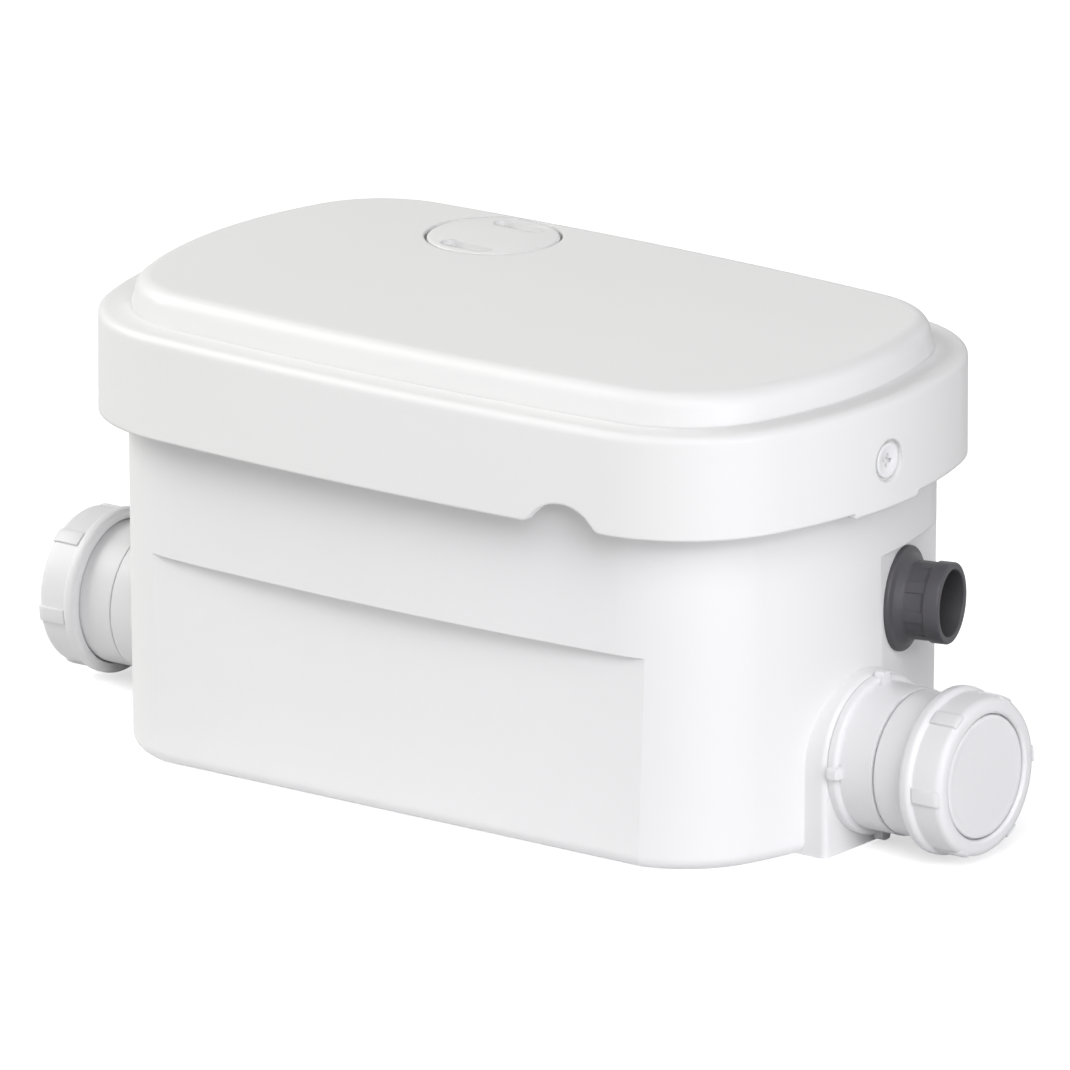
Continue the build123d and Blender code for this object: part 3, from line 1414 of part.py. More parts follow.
with BuildPart() as microswitch:
    with BuildSketch(Plane(origin=(micro_x, switch_y, micro_foot))):
        Rectangle(microswitch_length, microswitch_width)
    extrude(amount=microswitch_height)
    chamfer(microswitch.faces().sort_by(Axis.Z)[-1].edges(), microswitch_bevel)
    ear_inner = lever_width / 2 + micro_ear_gap
    for shift in (ear_inner, -ear_inner - micro_ear_thickness):
        with BuildSketch(Plane.XZ.offset(-switch_y - shift - micro_ear_thickness)):
            with Locations((lever_pivot_x, (pivot_height + micro_foot) / 2)):
                Rectangle(micro_ear_width, micro_foot - pivot_height + 2 * lever_knuckle)
        extrude(amount=micro_ear_thickness)
    with BuildSketch(pivot_plane):
        with Locations((lever_pivot_x, pivot_height)):
            Circle(lever_pin)
    extrude(amount=ear_inner + micro_pin_reach, both=True)
    with BuildSketch(Plane(origin=(button_x, switch_y, micro_foot))):
        Circle(button_radius + fit_clearance)
    extrude(amount=button_hole_depth, mode=Mode.SUBTRACT)
save(microswitch, "microswitch")

button_foot = lever_foot + lever_thickness + button_gap
with BuildPart() as button:
    with BuildSketch(Plane(origin=(button_x, switch_y, button_foot))):
        Circle(button_radius)
    extrude(amount=micro_foot + button_seat - button_foot)
save(button, "microswitch_button")
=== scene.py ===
import json
import logging
from collections.abc import Callable
from dataclasses import dataclass
from enum import Enum
from math import atan2, cos, degrees, hypot, radians, sin, tan

import bmesh
import bpy
from mathutils import Matrix, Vector


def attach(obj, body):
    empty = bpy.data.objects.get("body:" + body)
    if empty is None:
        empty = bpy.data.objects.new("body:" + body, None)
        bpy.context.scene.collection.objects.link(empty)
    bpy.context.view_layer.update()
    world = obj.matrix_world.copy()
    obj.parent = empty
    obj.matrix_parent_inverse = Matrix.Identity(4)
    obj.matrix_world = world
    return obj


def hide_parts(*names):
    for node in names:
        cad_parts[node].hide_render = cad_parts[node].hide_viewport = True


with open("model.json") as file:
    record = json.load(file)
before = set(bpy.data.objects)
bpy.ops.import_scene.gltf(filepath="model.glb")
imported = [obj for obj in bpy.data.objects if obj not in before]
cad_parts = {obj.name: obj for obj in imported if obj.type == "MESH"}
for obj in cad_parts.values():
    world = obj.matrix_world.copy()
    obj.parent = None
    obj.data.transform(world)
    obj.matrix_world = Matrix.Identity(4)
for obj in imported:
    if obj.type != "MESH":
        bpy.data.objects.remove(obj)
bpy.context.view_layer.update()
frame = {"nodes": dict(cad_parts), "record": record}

log = logging.getLogger("lifting_station")

Colour = tuple[float, float, float]
Point = tuple[float, float]
Corner = tuple[float, float, float]
Place = tuple[float, float, float]
Node = bpy.types.Node
Socket = bpy.types.NodeSocket
Tree = bpy.types.NodeTree

MM = 0.001
WELD = 0.001 * MM
SLIVER = 0.002 * MM
ORIGIN = (0.0, 0.0, 0.0)
WHITE = (1.0, 1.0, 1.0, 1.0)


class End(Enum):
    """The two ends of the tank, with the sign of their X direction."""

    RIGHT = 1
    LEFT = -1

    @property
    def word(self) -> str:
        """The end's name as the CAD nodes spell it."""
        return self.name.lower()


def new_node(tree: Tree, kind: str, values: dict[str, float] | None = None) -> Node:
    """Adds a shader node.

    Args:
        tree: Node tree of a material, a group or the world.
        kind: Kind of the node, without the ShaderNode in front.
        values: Values of its inputs, by the inputs' names.

    Returns:
        The node.
    """
    node = tree.nodes.new(f"ShaderNode{kind}")
    for label, value in (values or {}).items():
        node.inputs[label].default_value = value
    return node


def noise_at(tree: Tree, place: Socket, values: dict[str, float]) -> Node:
    """Adds a noise texture.

    Args:
        tree: Node tree.
        place: Where on the piece the noise is read.
        values: Values of its inputs, by the inputs' names.

    Returns:
        The noise node.
    """
    noise = new_node(tree, "TexNoise", values)
    tree.links.new(place, noise.inputs["Vector"])
    return noise


def ranged(tree: Tree, value: Socket, limits: dict[str, float]) -> Socket:
    """Carries a value over from one range to another.

    Args:
        tree: Node tree.
        value: The value.
        limits: The limits that aren't 0 and 1, by the inputs' names.

    Returns:
        The new value.
    """
    span = new_node(tree, "MapRange", limits)
    tree.links.new(value, span.inputs["Value"])
    return span.outputs["Result"]


def worked_out(tree: Tree, operation: str, *terms: Socket | float) -> Socket:
    """Works out a number from others.

    Args:
        tree: Node tree.
        operation: Name of the operation.
        terms: Its terms, each a socket or a number.

    Returns:
        The result.
    """
    result = new_node(tree, "Math")
    result.operation = operation
    for slot, term in zip(result.inputs, terms):
        if isinstance(term, float):
            slot.default_value = term
        else:
            tree.links.new(term, slot)
    return result.outputs["Value"]


def toned(tree: Tree, colour: Socket, factor: Socket) -> Socket:
    """Makes a colour lighter or darker.

    Args:
        tree: Node tree.
        colour: The colour.
        factor: What it is multiplied by.

    Returns:
        The new colour.
    """
    tone = new_node(tree, "VectorMath")
    tone.operation = "SCALE"
    tree.links.new(colour, tone.inputs["Vector"])
    tree.links.new(factor, tone.inputs["Scale"])
    return tone.outputs["Vector"]


def new_group(name: str, inputs: dict[str, float | Colour], outputs: dict[str, str]) -> Tree:
    """Makes an empty shader node group.

    Args:
        name: Name of the group.
        inputs: Name and default value of each number that goes in; a colour is three numbers.
        outputs: Name and socket type of each value that comes out.

    Returns:
        The group, with its group input and output nodes placed.
    """
    group = bpy.data.node_groups.new(name, "ShaderNodeTree")
    for label, value in inputs.items():
        kind = "NodeSocketColor" if isinstance(value, tuple) else "NodeSocketFloat"
        socket = group.interface.new_socket(label, in_out="INPUT", socket_type=kind)
        socket.default_value = (*value, 1.0) if isinstance(value, tuple) else value
    for label, kind in outputs.items():
        group.interface.new_socket(label, in_out="OUTPUT", socket_type=kind)
    group.nodes.new("NodeGroupInput").name = "in"
    group.nodes.new("NodeGroupOutput").name = "out"
    return group


def place_group(tree: Tree, group: Tree, values: dict[str, float | tuple[float, ...]]) -> Node:
    """Places a node group in a material.

    Args:
        tree: Node tree of the material.
        group: The group.
        values: Values of its inputs, by the inputs' names.

    Returns:
        The group's node.
    """
    node = new_node(tree, "Group")
    node.node_tree = group
    for label, value in values.items():
        node.inputs[label].default_value = value
    return node


class SkinGroups:
    """The surface effects that several finishes share, each built once as a node group."""

    def __init__(self) -> None:
        """Builds the groups."""
        self.moulded_skin = self._moulded_skin()
        self.brushed_grain = self._brushed_grain()
        self.handling_dust = self._handling_dust()

    @staticmethod
    def _moulded_skin() -> Tree:
        """Fine spark-eroded grain with slow clouding, as a moulded plastic wall has.

        Returns:
            A group that gives a tinted colour, a roughness and a bump height.
        """
        group = new_group(
            "moulded_skin",
            {"Colour": (0.8, 0.8, 0.8), "Roughness": 0.35, "Grain Size": 900.0, "Clouding": 0.01},
            {"Colour": "NodeSocketColor", "Roughness": "NodeSocketFloat", "Height": "NodeSocketFloat"},
        )
        links, given, result = group.links, group.nodes["in"].outputs, group.nodes["out"].inputs
        place = new_node(group, "TexCoord").outputs["Object"]
        grain = noise_at(group, place, {"Detail": 3.0, "Roughness": 0.6})
        links.new(given["Grain Size"], grain.inputs["Scale"])
        clouds = noise_at(group, place, {"Scale": 14.0, "Detail": 2.0})
        swing = ranged(group, clouds.outputs["Fac"], {"From Min": 0.3, "From Max": 0.7, "To Min": -1.0})
        amount = worked_out(group, "MULTIPLY_ADD", swing, given["Clouding"], 1.0)
        links.new(toned(group, given["Colour"], amount), result["Colour"])
        uneven = ranged(group, grain.outputs["Fac"], {"To Min": 0.88, "To Max": 1.12})
        links.new(worked_out(group, "MULTIPLY", given["Roughness"], uneven), result["Roughness"])
        links.new(grain.outputs["Fac"], result["Height"])
        return group

    @staticmethod
    def _brushed_grain() -> Tree:
        """Fine scratches drawn out along one direction.

        Returns:
            A group that gives a tint factor and a bump height.
        """
        group = new_group(
            "brushed_grain",
            {"Along": 20.0, "Across": 1200.0},
            {"Tint": "NodeSocketFloat", "Height": "NodeSocketFloat"},
        )
        links, given, result = group.links, group.nodes["in"].outputs, group.nodes["out"].inputs
        stretch = new_node(group, "CombineXYZ")
        for axis, density in {"X": "Along", "Y": "Along", "Z": "Across"}.items():
            links.new(given[density], stretch.inputs[axis])
        drawn = new_node(group, "VectorMath")
        drawn.operation = "MULTIPLY"
        links.new(new_node(group, "TexCoord").outputs["Object"], drawn.inputs[0])
        links.new(stretch.outputs["Vector"], drawn.inputs[1])
        scratches = noise_at(group, drawn.outputs["Vector"], {"Scale": 1.0, "Detail": 4.0})
        tint = ranged(group, scratches.outputs["Fac"], {"To Min": 0.75, "To Max": 1.2})
        links.new(tint, result["Tint"])
        links.new(scratches.outputs["Fac"], result["Height"])
        return group

    @staticmethod
    def _handling_dust() -> Tree:
        """A thin uneven veil of dust, as on parts that stood in a store.

        Returns:
            A group that gives a mask from 0 to the amount.
        """
        group = new_group("handling_dust", {"Amount": 0.1}, {"Mask": "NodeSocketFloat"})
        place = new_node(group, "TexCoord").outputs["Object"]
        veil = noise_at(group, place, {"Scale": 60.0, "Detail": 5.0})
        patches = ranged(group, veil.outputs["Fac"], {"From Min": 0.45, "From Max": 0.8})
        mask = worked_out(group, "MULTIPLY", patches, group.nodes["in"].outputs["Amount"])
        group.links.new(mask, group.nodes["out"].inputs["Mask"])
        return group


SKINS = SkinGroups()


def shader_of(name: str) -> tuple[bpy.types.Material, Tree, Node]:
    """Makes a material with a Principled shader.

    Args:
        name: Name of the material.

    Returns:
        The material, its node tree and its shader node.
    """
    material = bpy.data.materials.new(name)
    material.use_nodes = True
    return material, material.node_tree, material.node_tree.nodes["Principled BSDF"]


def bump_of(tree: Tree, height: Socket, depth: float) -> Node:
    """Adds a bump node.

    Args:
        tree: Node tree of the material.
        height: Socket that gives the height.
        depth: Depth of the relief in metres.

    Returns:
        The bump node.
    """
    bump = new_node(tree, "Bump", {"Strength": 1.0, "Distance": depth})
    tree.links.new(height, bump.inputs["Height"])
    return bump


@dataclass(frozen=True)
class MouldedPlastic:
    """Injection-moulded plastic with a fine grain, soft edges and painted shade in its hollows."""

    name: str
    colour: Colour
    roughness: float = 0.35
    grain_size: float = 900.0
    grain_depth: float = 0.00001
    clouding: float = 0.006
    specular: float = 0.25
    edge_round: float = 0.0005
    edge_samples: int = 6
    # Reach, tone, room and samples of the painted shade in the piece's hollows.
    painted_shade_reach: float = 0.007
    painted_shade_tone: float = 0.5
    painted_shade_room: float = 0.5
    painted_shade_samples: int = 8

    def material(self) -> bpy.types.Material:
        """Builds the material.

        Returns:
            The material.
        """
        material, tree, shader = shader_of(self.name)
        values = {
            "Colour": (*self.colour, 1.0),
            "Roughness": self.roughness,
            "Grain Size": self.grain_size,
            "Clouding": self.clouding,
        }
        skin = place_group(tree, SKINS.moulded_skin, values)
        # The base colour carries painted shade in the piece's own hollows.
        tree.links.new(self.painted_hollow_shade(tree, skin.outputs["Colour"]), shader.inputs["Base Color"])
        tree.links.new(skin.outputs["Roughness"], shader.inputs["Roughness"])
        bump = bump_of(tree, skin.outputs["Height"], self.grain_depth)
        edges = new_node(tree, "Bevel", {"Radius": self.edge_round})
        edges.samples = self.edge_samples
        tree.links.new(edges.outputs["Normal"], bump.inputs["Normal"])
        tree.links.new(bump.outputs["Normal"], shader.inputs["Normal"])
        shader.inputs["Specular IOR Level"].default_value = self.specular
        return material

    def painted_hollow_shade(self, tree: Tree, colour: Socket) -> Socket:
        """Paints shade into the colour in the piece's own deep bores, pockets and creases, from ambient
        occlusion.

        Args:
            tree: Node tree of the material.
            colour: Colour of the open surface.

        Returns:
            The colour with painted shade, darker where the piece's own surfaces close in.
        """
        # Ambient occlusion darkens the base colour here: painted shade, not a stain.
        room = new_node(tree, "AmbientOcclusion", {"Distance": self.painted_shade_reach})
        room.samples = self.painted_shade_samples
        room.only_local = True
        limits = {"From Max": self.painted_shade_room, "To Min": self.painted_shade_tone}
        return toned(tree, colour, ranged(tree, room.outputs["AO"], limits))


@dataclass(frozen=True)
class SoftRubber:
    """Dark rubber with a dusty bloom."""

    name: str
    colour: Colour
    roughness: float = 0.65
    dust: float = 0.25
    dust_colour: Colour = (0.12, 0.12, 0.12)
    grain_size: float = 1500.0
    grain_depth: float = 0.00003
    clouding: float = 0.2

    def material(self) -> bpy.types.Material:
        """Builds the material.

        Returns:
            The material.
        """
        material, tree, shader = shader_of(self.name)
        values = {
            "Colour": (*self.colour, 1.0),
            "Roughness": self.roughness,
            "Grain Size": self.grain_size,
            "Clouding": self.clouding,
        }
        skin = place_group(tree, SKINS.moulded_skin, values)
        dust = place_group(tree, SKINS.handling_dust, {"Amount": self.dust})
        veil = new_node(tree, "Mix")
        veil.data_type = "RGBA"
        veil.inputs["B"].default_value = (*self.dust_colour, 1.0)
        tree.links.new(dust.outputs["Mask"], veil.inputs["Factor"])
        tree.links.new(skin.outputs["Colour"], veil.inputs["A"])
        tree.links.new(veil.outputs["Result"], shader.inputs["Base Color"])
        tree.links.new(skin.outputs["Roughness"], shader.inputs["Roughness"])
        bump = bump_of(tree, skin.outputs["Height"], self.grain_depth)
        tree.links.new(bump.outputs["Normal"], shader.inputs["Normal"])
        return material


@dataclass(frozen=True)
class WorkedMetal:
    """Metal with fine drawn scratches."""

    name: str
    colour: Colour
    roughness: float = 0.3
    along: float = 20.0
    across: float = 1200.0
    scratch_depth: float = 0.00001

    def material(self) -> bpy.types.Material:
        """Builds the material.

        Returns:
            The material.
        """
        material, tree, shader = shader_of(self.name)
        grain = place_group(tree, SKINS.brushed_grain, {"Along": self.along, "Across": self.across})
        tint = new_node(tree, "VectorMath")
        tint.operation = "SCALE"
        tint.inputs["Vector"].default_value = self.colour
        tree.links.new(grain.outputs["Tint"], tint.inputs["Scale"])
        tree.links.new(tint.outputs["Vector"], shader.inputs["Base Color"])
        bump = bump_of(tree, grain.outputs["Height"], self.scratch_depth)
        tree.links.new(bump.outputs["Normal"], shader.inputs["Normal"])
        shader.inputs["Metallic"].default_value = 1.0
        shader.inputs["Roughness"].default_value = self.roughness
        return material


FINISHES = {
    "white_tank": MouldedPlastic("tank_white", (0.8, 0.8, 0.805), roughness=0.42),
    "white_lid": MouldedPlastic("lid_white", (0.79, 0.79, 0.785), roughness=0.36, edge_round=0.0014),
    "white_fitting": MouldedPlastic("fitting_white", (0.8, 0.8, 0.81), roughness=0.3, edge_round=0.0008),
    # The spigot's deep bore gets strong painted shade from its own walls.
    "grey_spigot": MouldedPlastic(
        "spigot_grey",
        (0.078, 0.076, 0.083),
        roughness=0.42,
        clouding=0.08,
        painted_shade_reach=0.025,
        painted_shade_tone=0.2,
        painted_shade_room=0.85,
    ),
    "black_plastic": MouldedPlastic("pump_black", (0.035, 0.035, 0.038), roughness=0.45, clouding=0.1),
    "red_button": MouldedPlastic("button_red", (0.5, 0.04, 0.03), roughness=0.35),
    "carbon": SoftRubber("carbon_foam", (0.03, 0.03, 0.03), roughness=0.95, dust=0.4),
    "black_rubber": SoftRubber("seal_rubber", (0.025, 0.025, 0.025)),
    "stainless": WorkedMetal("stainless_steel", (0.6, 0.6, 0.59), roughness=0.28),
    "brass_part": WorkedMetal("square_nut_brass", (0.7, 0.52, 0.25), roughness=0.32),
    "alloy": WorkedMetal("cast_alloy", (0.65, 0.65, 0.66), roughness=0.48, along=300.0, across=300.0),
    "lamination": WorkedMetal(
        "stacked_laminations", (0.2, 0.2, 0.21), roughness=0.5, along=2.0, across=2600.0
    ),
    "copper_wire": WorkedMetal(
        "enamelled_copper", (0.62, 0.27, 0.13), roughness=0.35, along=900.0, across=900.0
    ),
}


class Wardrobe:
    """Builds each finish once and dresses CAD nodes and new pieces in them."""

    def __init__(self) -> None:
        """Builds the materials."""
        self.materials = {slot: finish.material() for slot, finish in FINISHES.items()}

    def dress_nodes(self) -> None:
        """Gives every CAD node the finish of its record slot."""
        slots = {entry["node"]: entry["material_slot"] for entry in frame["record"]["subparts"]}
        for name, node in frame["nodes"].items():
            if not node.material_slots:
                node.data.materials.append(None)
            for holder in node.material_slots:
                holder.link = "OBJECT"
                holder.material = self.materials[slots[name]]

    def dress(self, piece: bpy.types.Object, slot: str) -> None:
        """Gives a new piece a finish.

        Args:
            piece: The piece.
            slot: The record's material slot.
        """
        piece.data.materials.clear()
        piece.data.materials.append(self.materials[slot])


def rounded(corners: list[Corner], ring: bool, steps: int = 4) -> list[Point]:
    """Rounds the corners of a half-section.

    Args:
        corners: Radius, height and round of each corner, in millimetres.
        ring: True when the section closes on itself, False when it starts and ends at the axis.
        steps: Number of chords in each round.

    Returns:
        Radius and height of each point of the rounded section.
    """
    points: list[Point] = []
    for i, (radius, height, fillet) in enumerate(corners):
        inner = ring or 0 < i < len(corners) - 1
        if not inner or fillet == 0.0:
            points.append((radius, height))
            continue
        here = Vector((radius, height))
        before = (Vector(corners[i - 1][:2]) - here).normalized()
        after = (Vector(corners[(i + 1) % len(corners)][:2]) - here).normalized()
        half = before.angle(after) / 2.0
        centre = here + (before + after).normalized() * (fillet / sin(half))
        start = here + before * (fillet / tan(half)) - centre
        end = here + after * (fillet / tan(half)) - centre
        for step in range(steps + 1):
            spoke = start.slerp(end, step / steps)
            points.append(tuple(centre + spoke.normalized() * fillet))
    return points


def take_up(piece: bpy.types.Object) -> None:
    """Makes a piece the only selected one and the active one.

    Args:
        piece: The piece.
    """
    bpy.ops.object.select_all(action="DESELECT")
    bpy.context.view_layer.objects.active = piece
    piece.select_set(True)


def edit(piece: bpy.types.Object, mode: str = "VERT", action: str = "DESELECT") -> None:
    """Opens a piece in edit mode.

    Args:
        piece: The piece.
        mode: What edit mode selects: VERT, EDGE or FACE.
        action: SELECT to start with all of the piece selected, DESELECT with nothing.
    """
    take_up(piece)
    bpy.ops.object.mode_set(mode="EDIT")
    bpy.ops.mesh.select_mode(type=mode)
    bpy.ops.mesh.select_all(action=action)


def leave_edit() -> None:
    """Leaves edit mode."""
    bpy.ops.object.mode_set(mode="OBJECT")


def turned(name: str, section: list[Point], ring: bool, count: int = 96) -> bpy.types.Object:
    """Turns a half-section about the Z axis, one extruded hoop after the other.

    Args:
        name: Name of the piece.
        section: Radius and height of each point, in millimetres.
        ring: True when the section closes on itself, False when its ends are flat faces.
        count: Number of vertices round the axis.

    Returns:
        The piece.
    """
    bpy.ops.object.select_all(action="DESELECT")
    fill = "NOTHING" if ring else "NGON"
    bpy.ops.mesh.primitive_circle_add(vertices=count, radius=section[0][0] * MM, fill_type=fill)
    piece = bpy.context.object
    piece.name = name
    edit(piece, action="SELECT")
    bpy.ops.transform.translate(value=(0.0, 0.0, section[0][1] * MM))
    path = section + [section[0]] if ring else section
    for (radius, height), (next_radius, next_height) in zip(path, path[1:]):
        rise = (0.0, 0.0, (next_height - height) * MM)
        bpy.ops.mesh.extrude_edges_move(TRANSFORM_OT_translate={"value": rise})
        grow = next_radius / radius
        centre = (0.0, 0.0, next_height * MM)
        bpy.ops.transform.resize(value=(grow, grow, 1.0), center_override=centre)
    if not ring:
        bpy.ops.mesh.edge_face_add()
    bpy.ops.mesh.select_all(action="SELECT")
    bpy.ops.mesh.remove_doubles(threshold=WELD)
    bpy.ops.mesh.normals_make_consistent(inside=False)
    leave_edit()
    return piece


def pick_faces(piece: bpy.types.Object, wanted: Callable[[Vector], bool]) -> None:
    """Opens a piece in edit mode with some of its faces selected.

    Args:
        piece: The piece.
        wanted: Says of a face's centre, in millimetres, if the face is selected.
    """
    edit(piece, "FACE")
    mesh = bmesh.from_edit_mesh(piece.data)
    for face in mesh.faces:
        face.select_set(wanted(face.calc_center_median() / MM))
    bmesh.update_edit_mesh(piece.data)


def soften(piece: bpy.types.Object, width: float, above: float, segments: int = 3) -> None:
    """Rounds the sharp edges of a piece.

    Args:
        piece: The piece.
        width: Width of the round in millimetres.
        above: Angle in degrees over which an edge is sharp.
        segments: Number of strips in the round.
    """
    take_up(piece)
    bevel = piece.modifiers.new("soft_edges", "BEVEL")
    bevel.width = width * MM
    bevel.segments = segments
    bevel.limit_method = "ANGLE"
    bevel.angle_limit = radians(above)
    bevel.use_clamp_overlap = True
    bpy.ops.object.modifier_apply(modifier="soft_edges")
    edit(piece, action="SELECT")
    bpy.ops.mesh.dissolve_degenerate(threshold=SLIVER)
    leave_edit()


def cut_away(piece: bpy.types.Object, cutter: bpy.types.Object) -> None:
    """Takes the shape of a cutter out of a piece and removes the cutter.

    Args:
        piece: The piece.
        cutter: The cutter.
    """
    take_up(piece)
    cut = piece.modifiers.new("cut", "BOOLEAN")
    cut.operation = "DIFFERENCE"
    cut.solver = "EXACT"
    cut.object = cutter
    bpy.ops.object.modifier_apply(modifier="cut")
    bpy.data.objects.remove(cutter, do_unlink=True)


@dataclass(frozen=True)
class Seat:
    """Where a turned piece stands: a point of its axis in millimetres, its axis and its turn."""

    origin: Place
    axis: Place
    turn: float = 0.0

    @classmethod
    def at_end(cls, end: End, start: float, height: float, turn: float = 0.0) -> "Seat":
        """Seat of a piece that points outwards from an end of the tank.

        Args:
            end: The end.
            start: Distance of the piece's foot from the tank's middle, in millimetres.
            height: Height of the piece's axis, in millimetres.
            turn: Turn about its axis, in degrees.

        Returns:
            The seat.
        """
        sign = float(end.value)
        return cls((sign * start, 0.0, height), (sign, 0.0, 0.0), turn)

    def settle(self, piece: bpy.types.Object, sharp: float = 32.0) -> None:
        """Moves a piece's mesh to its place and shades it smooth.

        Args:
            piece: The piece, made about the Z axis.
            sharp: Angle in degrees over which an edge stays sharp.
        """
        along = Vector(self.axis).normalized()
        up = Vector((0.0, 1.0, 0.0)) if abs(along.z) > 0.5 else Vector((0.0, 0.0, 1.0))
        side = up.cross(along)
        stand = Matrix((side, up, along)).transposed().to_4x4()
        stand.translation = Vector(self.origin) * MM
        take_up(piece)
        piece.matrix_world = stand @ Matrix.Rotation(radians(self.turn), 4, "Z")
        bpy.ops.object.transform_apply(location=True, rotation=True, scale=True)
        bpy.ops.object.shade_smooth_by_angle(angle=radians(sharp))
        log.info("%s: %d faces", piece.name, len(piece.data.polygons))


@dataclass(frozen=True)
class UnionNut:
    """Ribbed nut that holds the blanking disc on an inlet."""

    end: End
    height: float = 30.5
    start: float = 174.4
    finish: float = 191.0
    skirt_bore: float = 25.3
    skirt_depth: float = 2.0
    skirt_round: float = 0.5
    back_radius: float = 28.9
    back_round: float = 1.7
    band: float = 4.2
    band_round: float = 1.6
    band_slope: float = 0.9
    waist_radius: float = 27.2
    waist_round: float = 0.6
    front_radius: float = 27.4
    front_round: float = 2.6
    opening: float = 21.75
    mouth_flare: float = 0.7
    mouth_depth: float = 0.9
    mouth_round: float = 0.5
    opening_round: float = 0.4
    lip: float = 2.6
    bore: float = 23.7
    ribs: int = 6
    rib_steps: int = 3
    rib_rise: float = 0.7
    rib_back_gap: float = 1.0
    rib_front_gap: float = 1.2
    inner_wall: float = 2.0
    soft_width: float = 0.7
    soft_above: float = 40.0
    soft_strips: int = 4
    turns: int = 96
    right_turn: float = -2.0
    left_turn: float = 45.5

    @property
    def length(self) -> float:
        """Length of the nut."""
        return self.finish - self.start

    def section(self) -> list[Point]:
        """Half-section of the nut without its ribs.

        Returns:
            Radius and height of each point.
        """
        lip_foot = self.length - self.lip
        return rounded(
            [
                (self.skirt_bore, 0.0, self.skirt_round),
                (self.back_radius, 0.0, self.back_round),
                (self.back_radius, self.band, self.band_round),
                (self.waist_radius, self.band + self.band_slope, self.waist_round),
                (self.front_radius, self.length, self.front_round),
                (self.opening + self.mouth_flare, self.length, self.mouth_round),
                (self.opening, self.length - self.mouth_depth, self.opening_round),
                (self.opening, lip_foot, 0.0),
                (self.bore, lip_foot, 0.0),
                (self.bore, self.skirt_depth, 0.0),
                (self.skirt_bore, self.skirt_depth, 0.0),
            ],
            ring=True,
        )

    def in_rib(self, centre: Vector) -> bool:
        """Says if a face belongs to a rib.

        Args:
            centre: Centre of the face in millimetres, with the nut's foot at height 0.

        Returns:
            True for the waist's faces that are raised to ribs.
        """
        turn = degrees(atan2(centre.y, centre.x)) % (360.0 / self.ribs)
        outside = hypot(centre.x, centre.y) > self.bore + self.inner_wall
        on_waist = self.band + self.rib_back_gap < centre.z < self.length - self.rib_front_gap
        return outside and on_waist and turn < self.rib_steps * 360.0 / self.turns

    def build(self, wardrobe: Wardrobe) -> None:
        """Models the nut and puts it in place of its CAD node.

        Args:
            wardrobe: Source of the finish.
        """
        piece = turned(f"union_nut_{self.end.word}_visual", self.section(), True, self.turns)
        pick_faces(piece, self.in_rib)
        bpy.ops.mesh.extrude_region_shrink_fatten(
            TRANSFORM_OT_shrink_fatten={"value": self.rib_rise * MM}
        )
        leave_edit()
        soften(piece, self.soft_width, self.soft_above, self.soft_strips)
        turn = self.right_turn if self.end is End.RIGHT else self.left_turn
        Seat.at_end(self.end, self.start, self.height, turn).settle(piece)
        wardrobe.dress(piece, "white_fitting")
        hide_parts(f"union_nut_{self.end.word}")
        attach(piece, f"union_nut_{self.end.word}")


@dataclass(frozen=True)
class BlankingDisc:
    """Disc that closes an inlet, with a shallow dished front."""

    end: End
    height: float = 30.5
    start: float = 185.7
    shoulder: float = 188.1
    face: float = 190.3
    middle_radius: float = 0.5
    rim_radius: float = 23.2
    rim_round: float = 0.2
    radius: float = 21.2
    face_round: float = 1.0
    dish_radius: float = 18.2
    dish_slope: float = 1.2
    dish_depth: float = 0.12
    dish_round: float = 0.5

    def build(self, wardrobe: Wardrobe) -> None:
        """Models the disc and puts it in place of its CAD node.

        Args:
            wardrobe: Source of the finish.
        """
        rim = self.shoulder - self.start
        thickness = self.face - self.start
        section = rounded(
            [
                (self.middle_radius, 0.0, 0.0),
                (self.rim_radius, 0.0, self.rim_round),
                (self.rim_radius, rim, self.rim_round),
                (self.radius, rim, 0.0),
                (self.radius, thickness, self.face_round),
                (self.dish_radius + self.dish_slope, thickness, self.dish_round),
                (self.dish_radius, thickness - self.dish_depth, self.dish_round),
                (self.middle_radius, thickness - self.dish_depth, 0.0),
            ],
            ring=False,
        )
        piece = turned(f"blanking_disc_{self.end.word}_visual", section, False)
        Seat.at_end(self.end, self.start, self.height).settle(piece)
        wardrobe.dress(piece, "white_fitting")
        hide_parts(f"blanking_disc_{self.end.word}")
        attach(piece, f"blanking_disc_{self.end.word}")


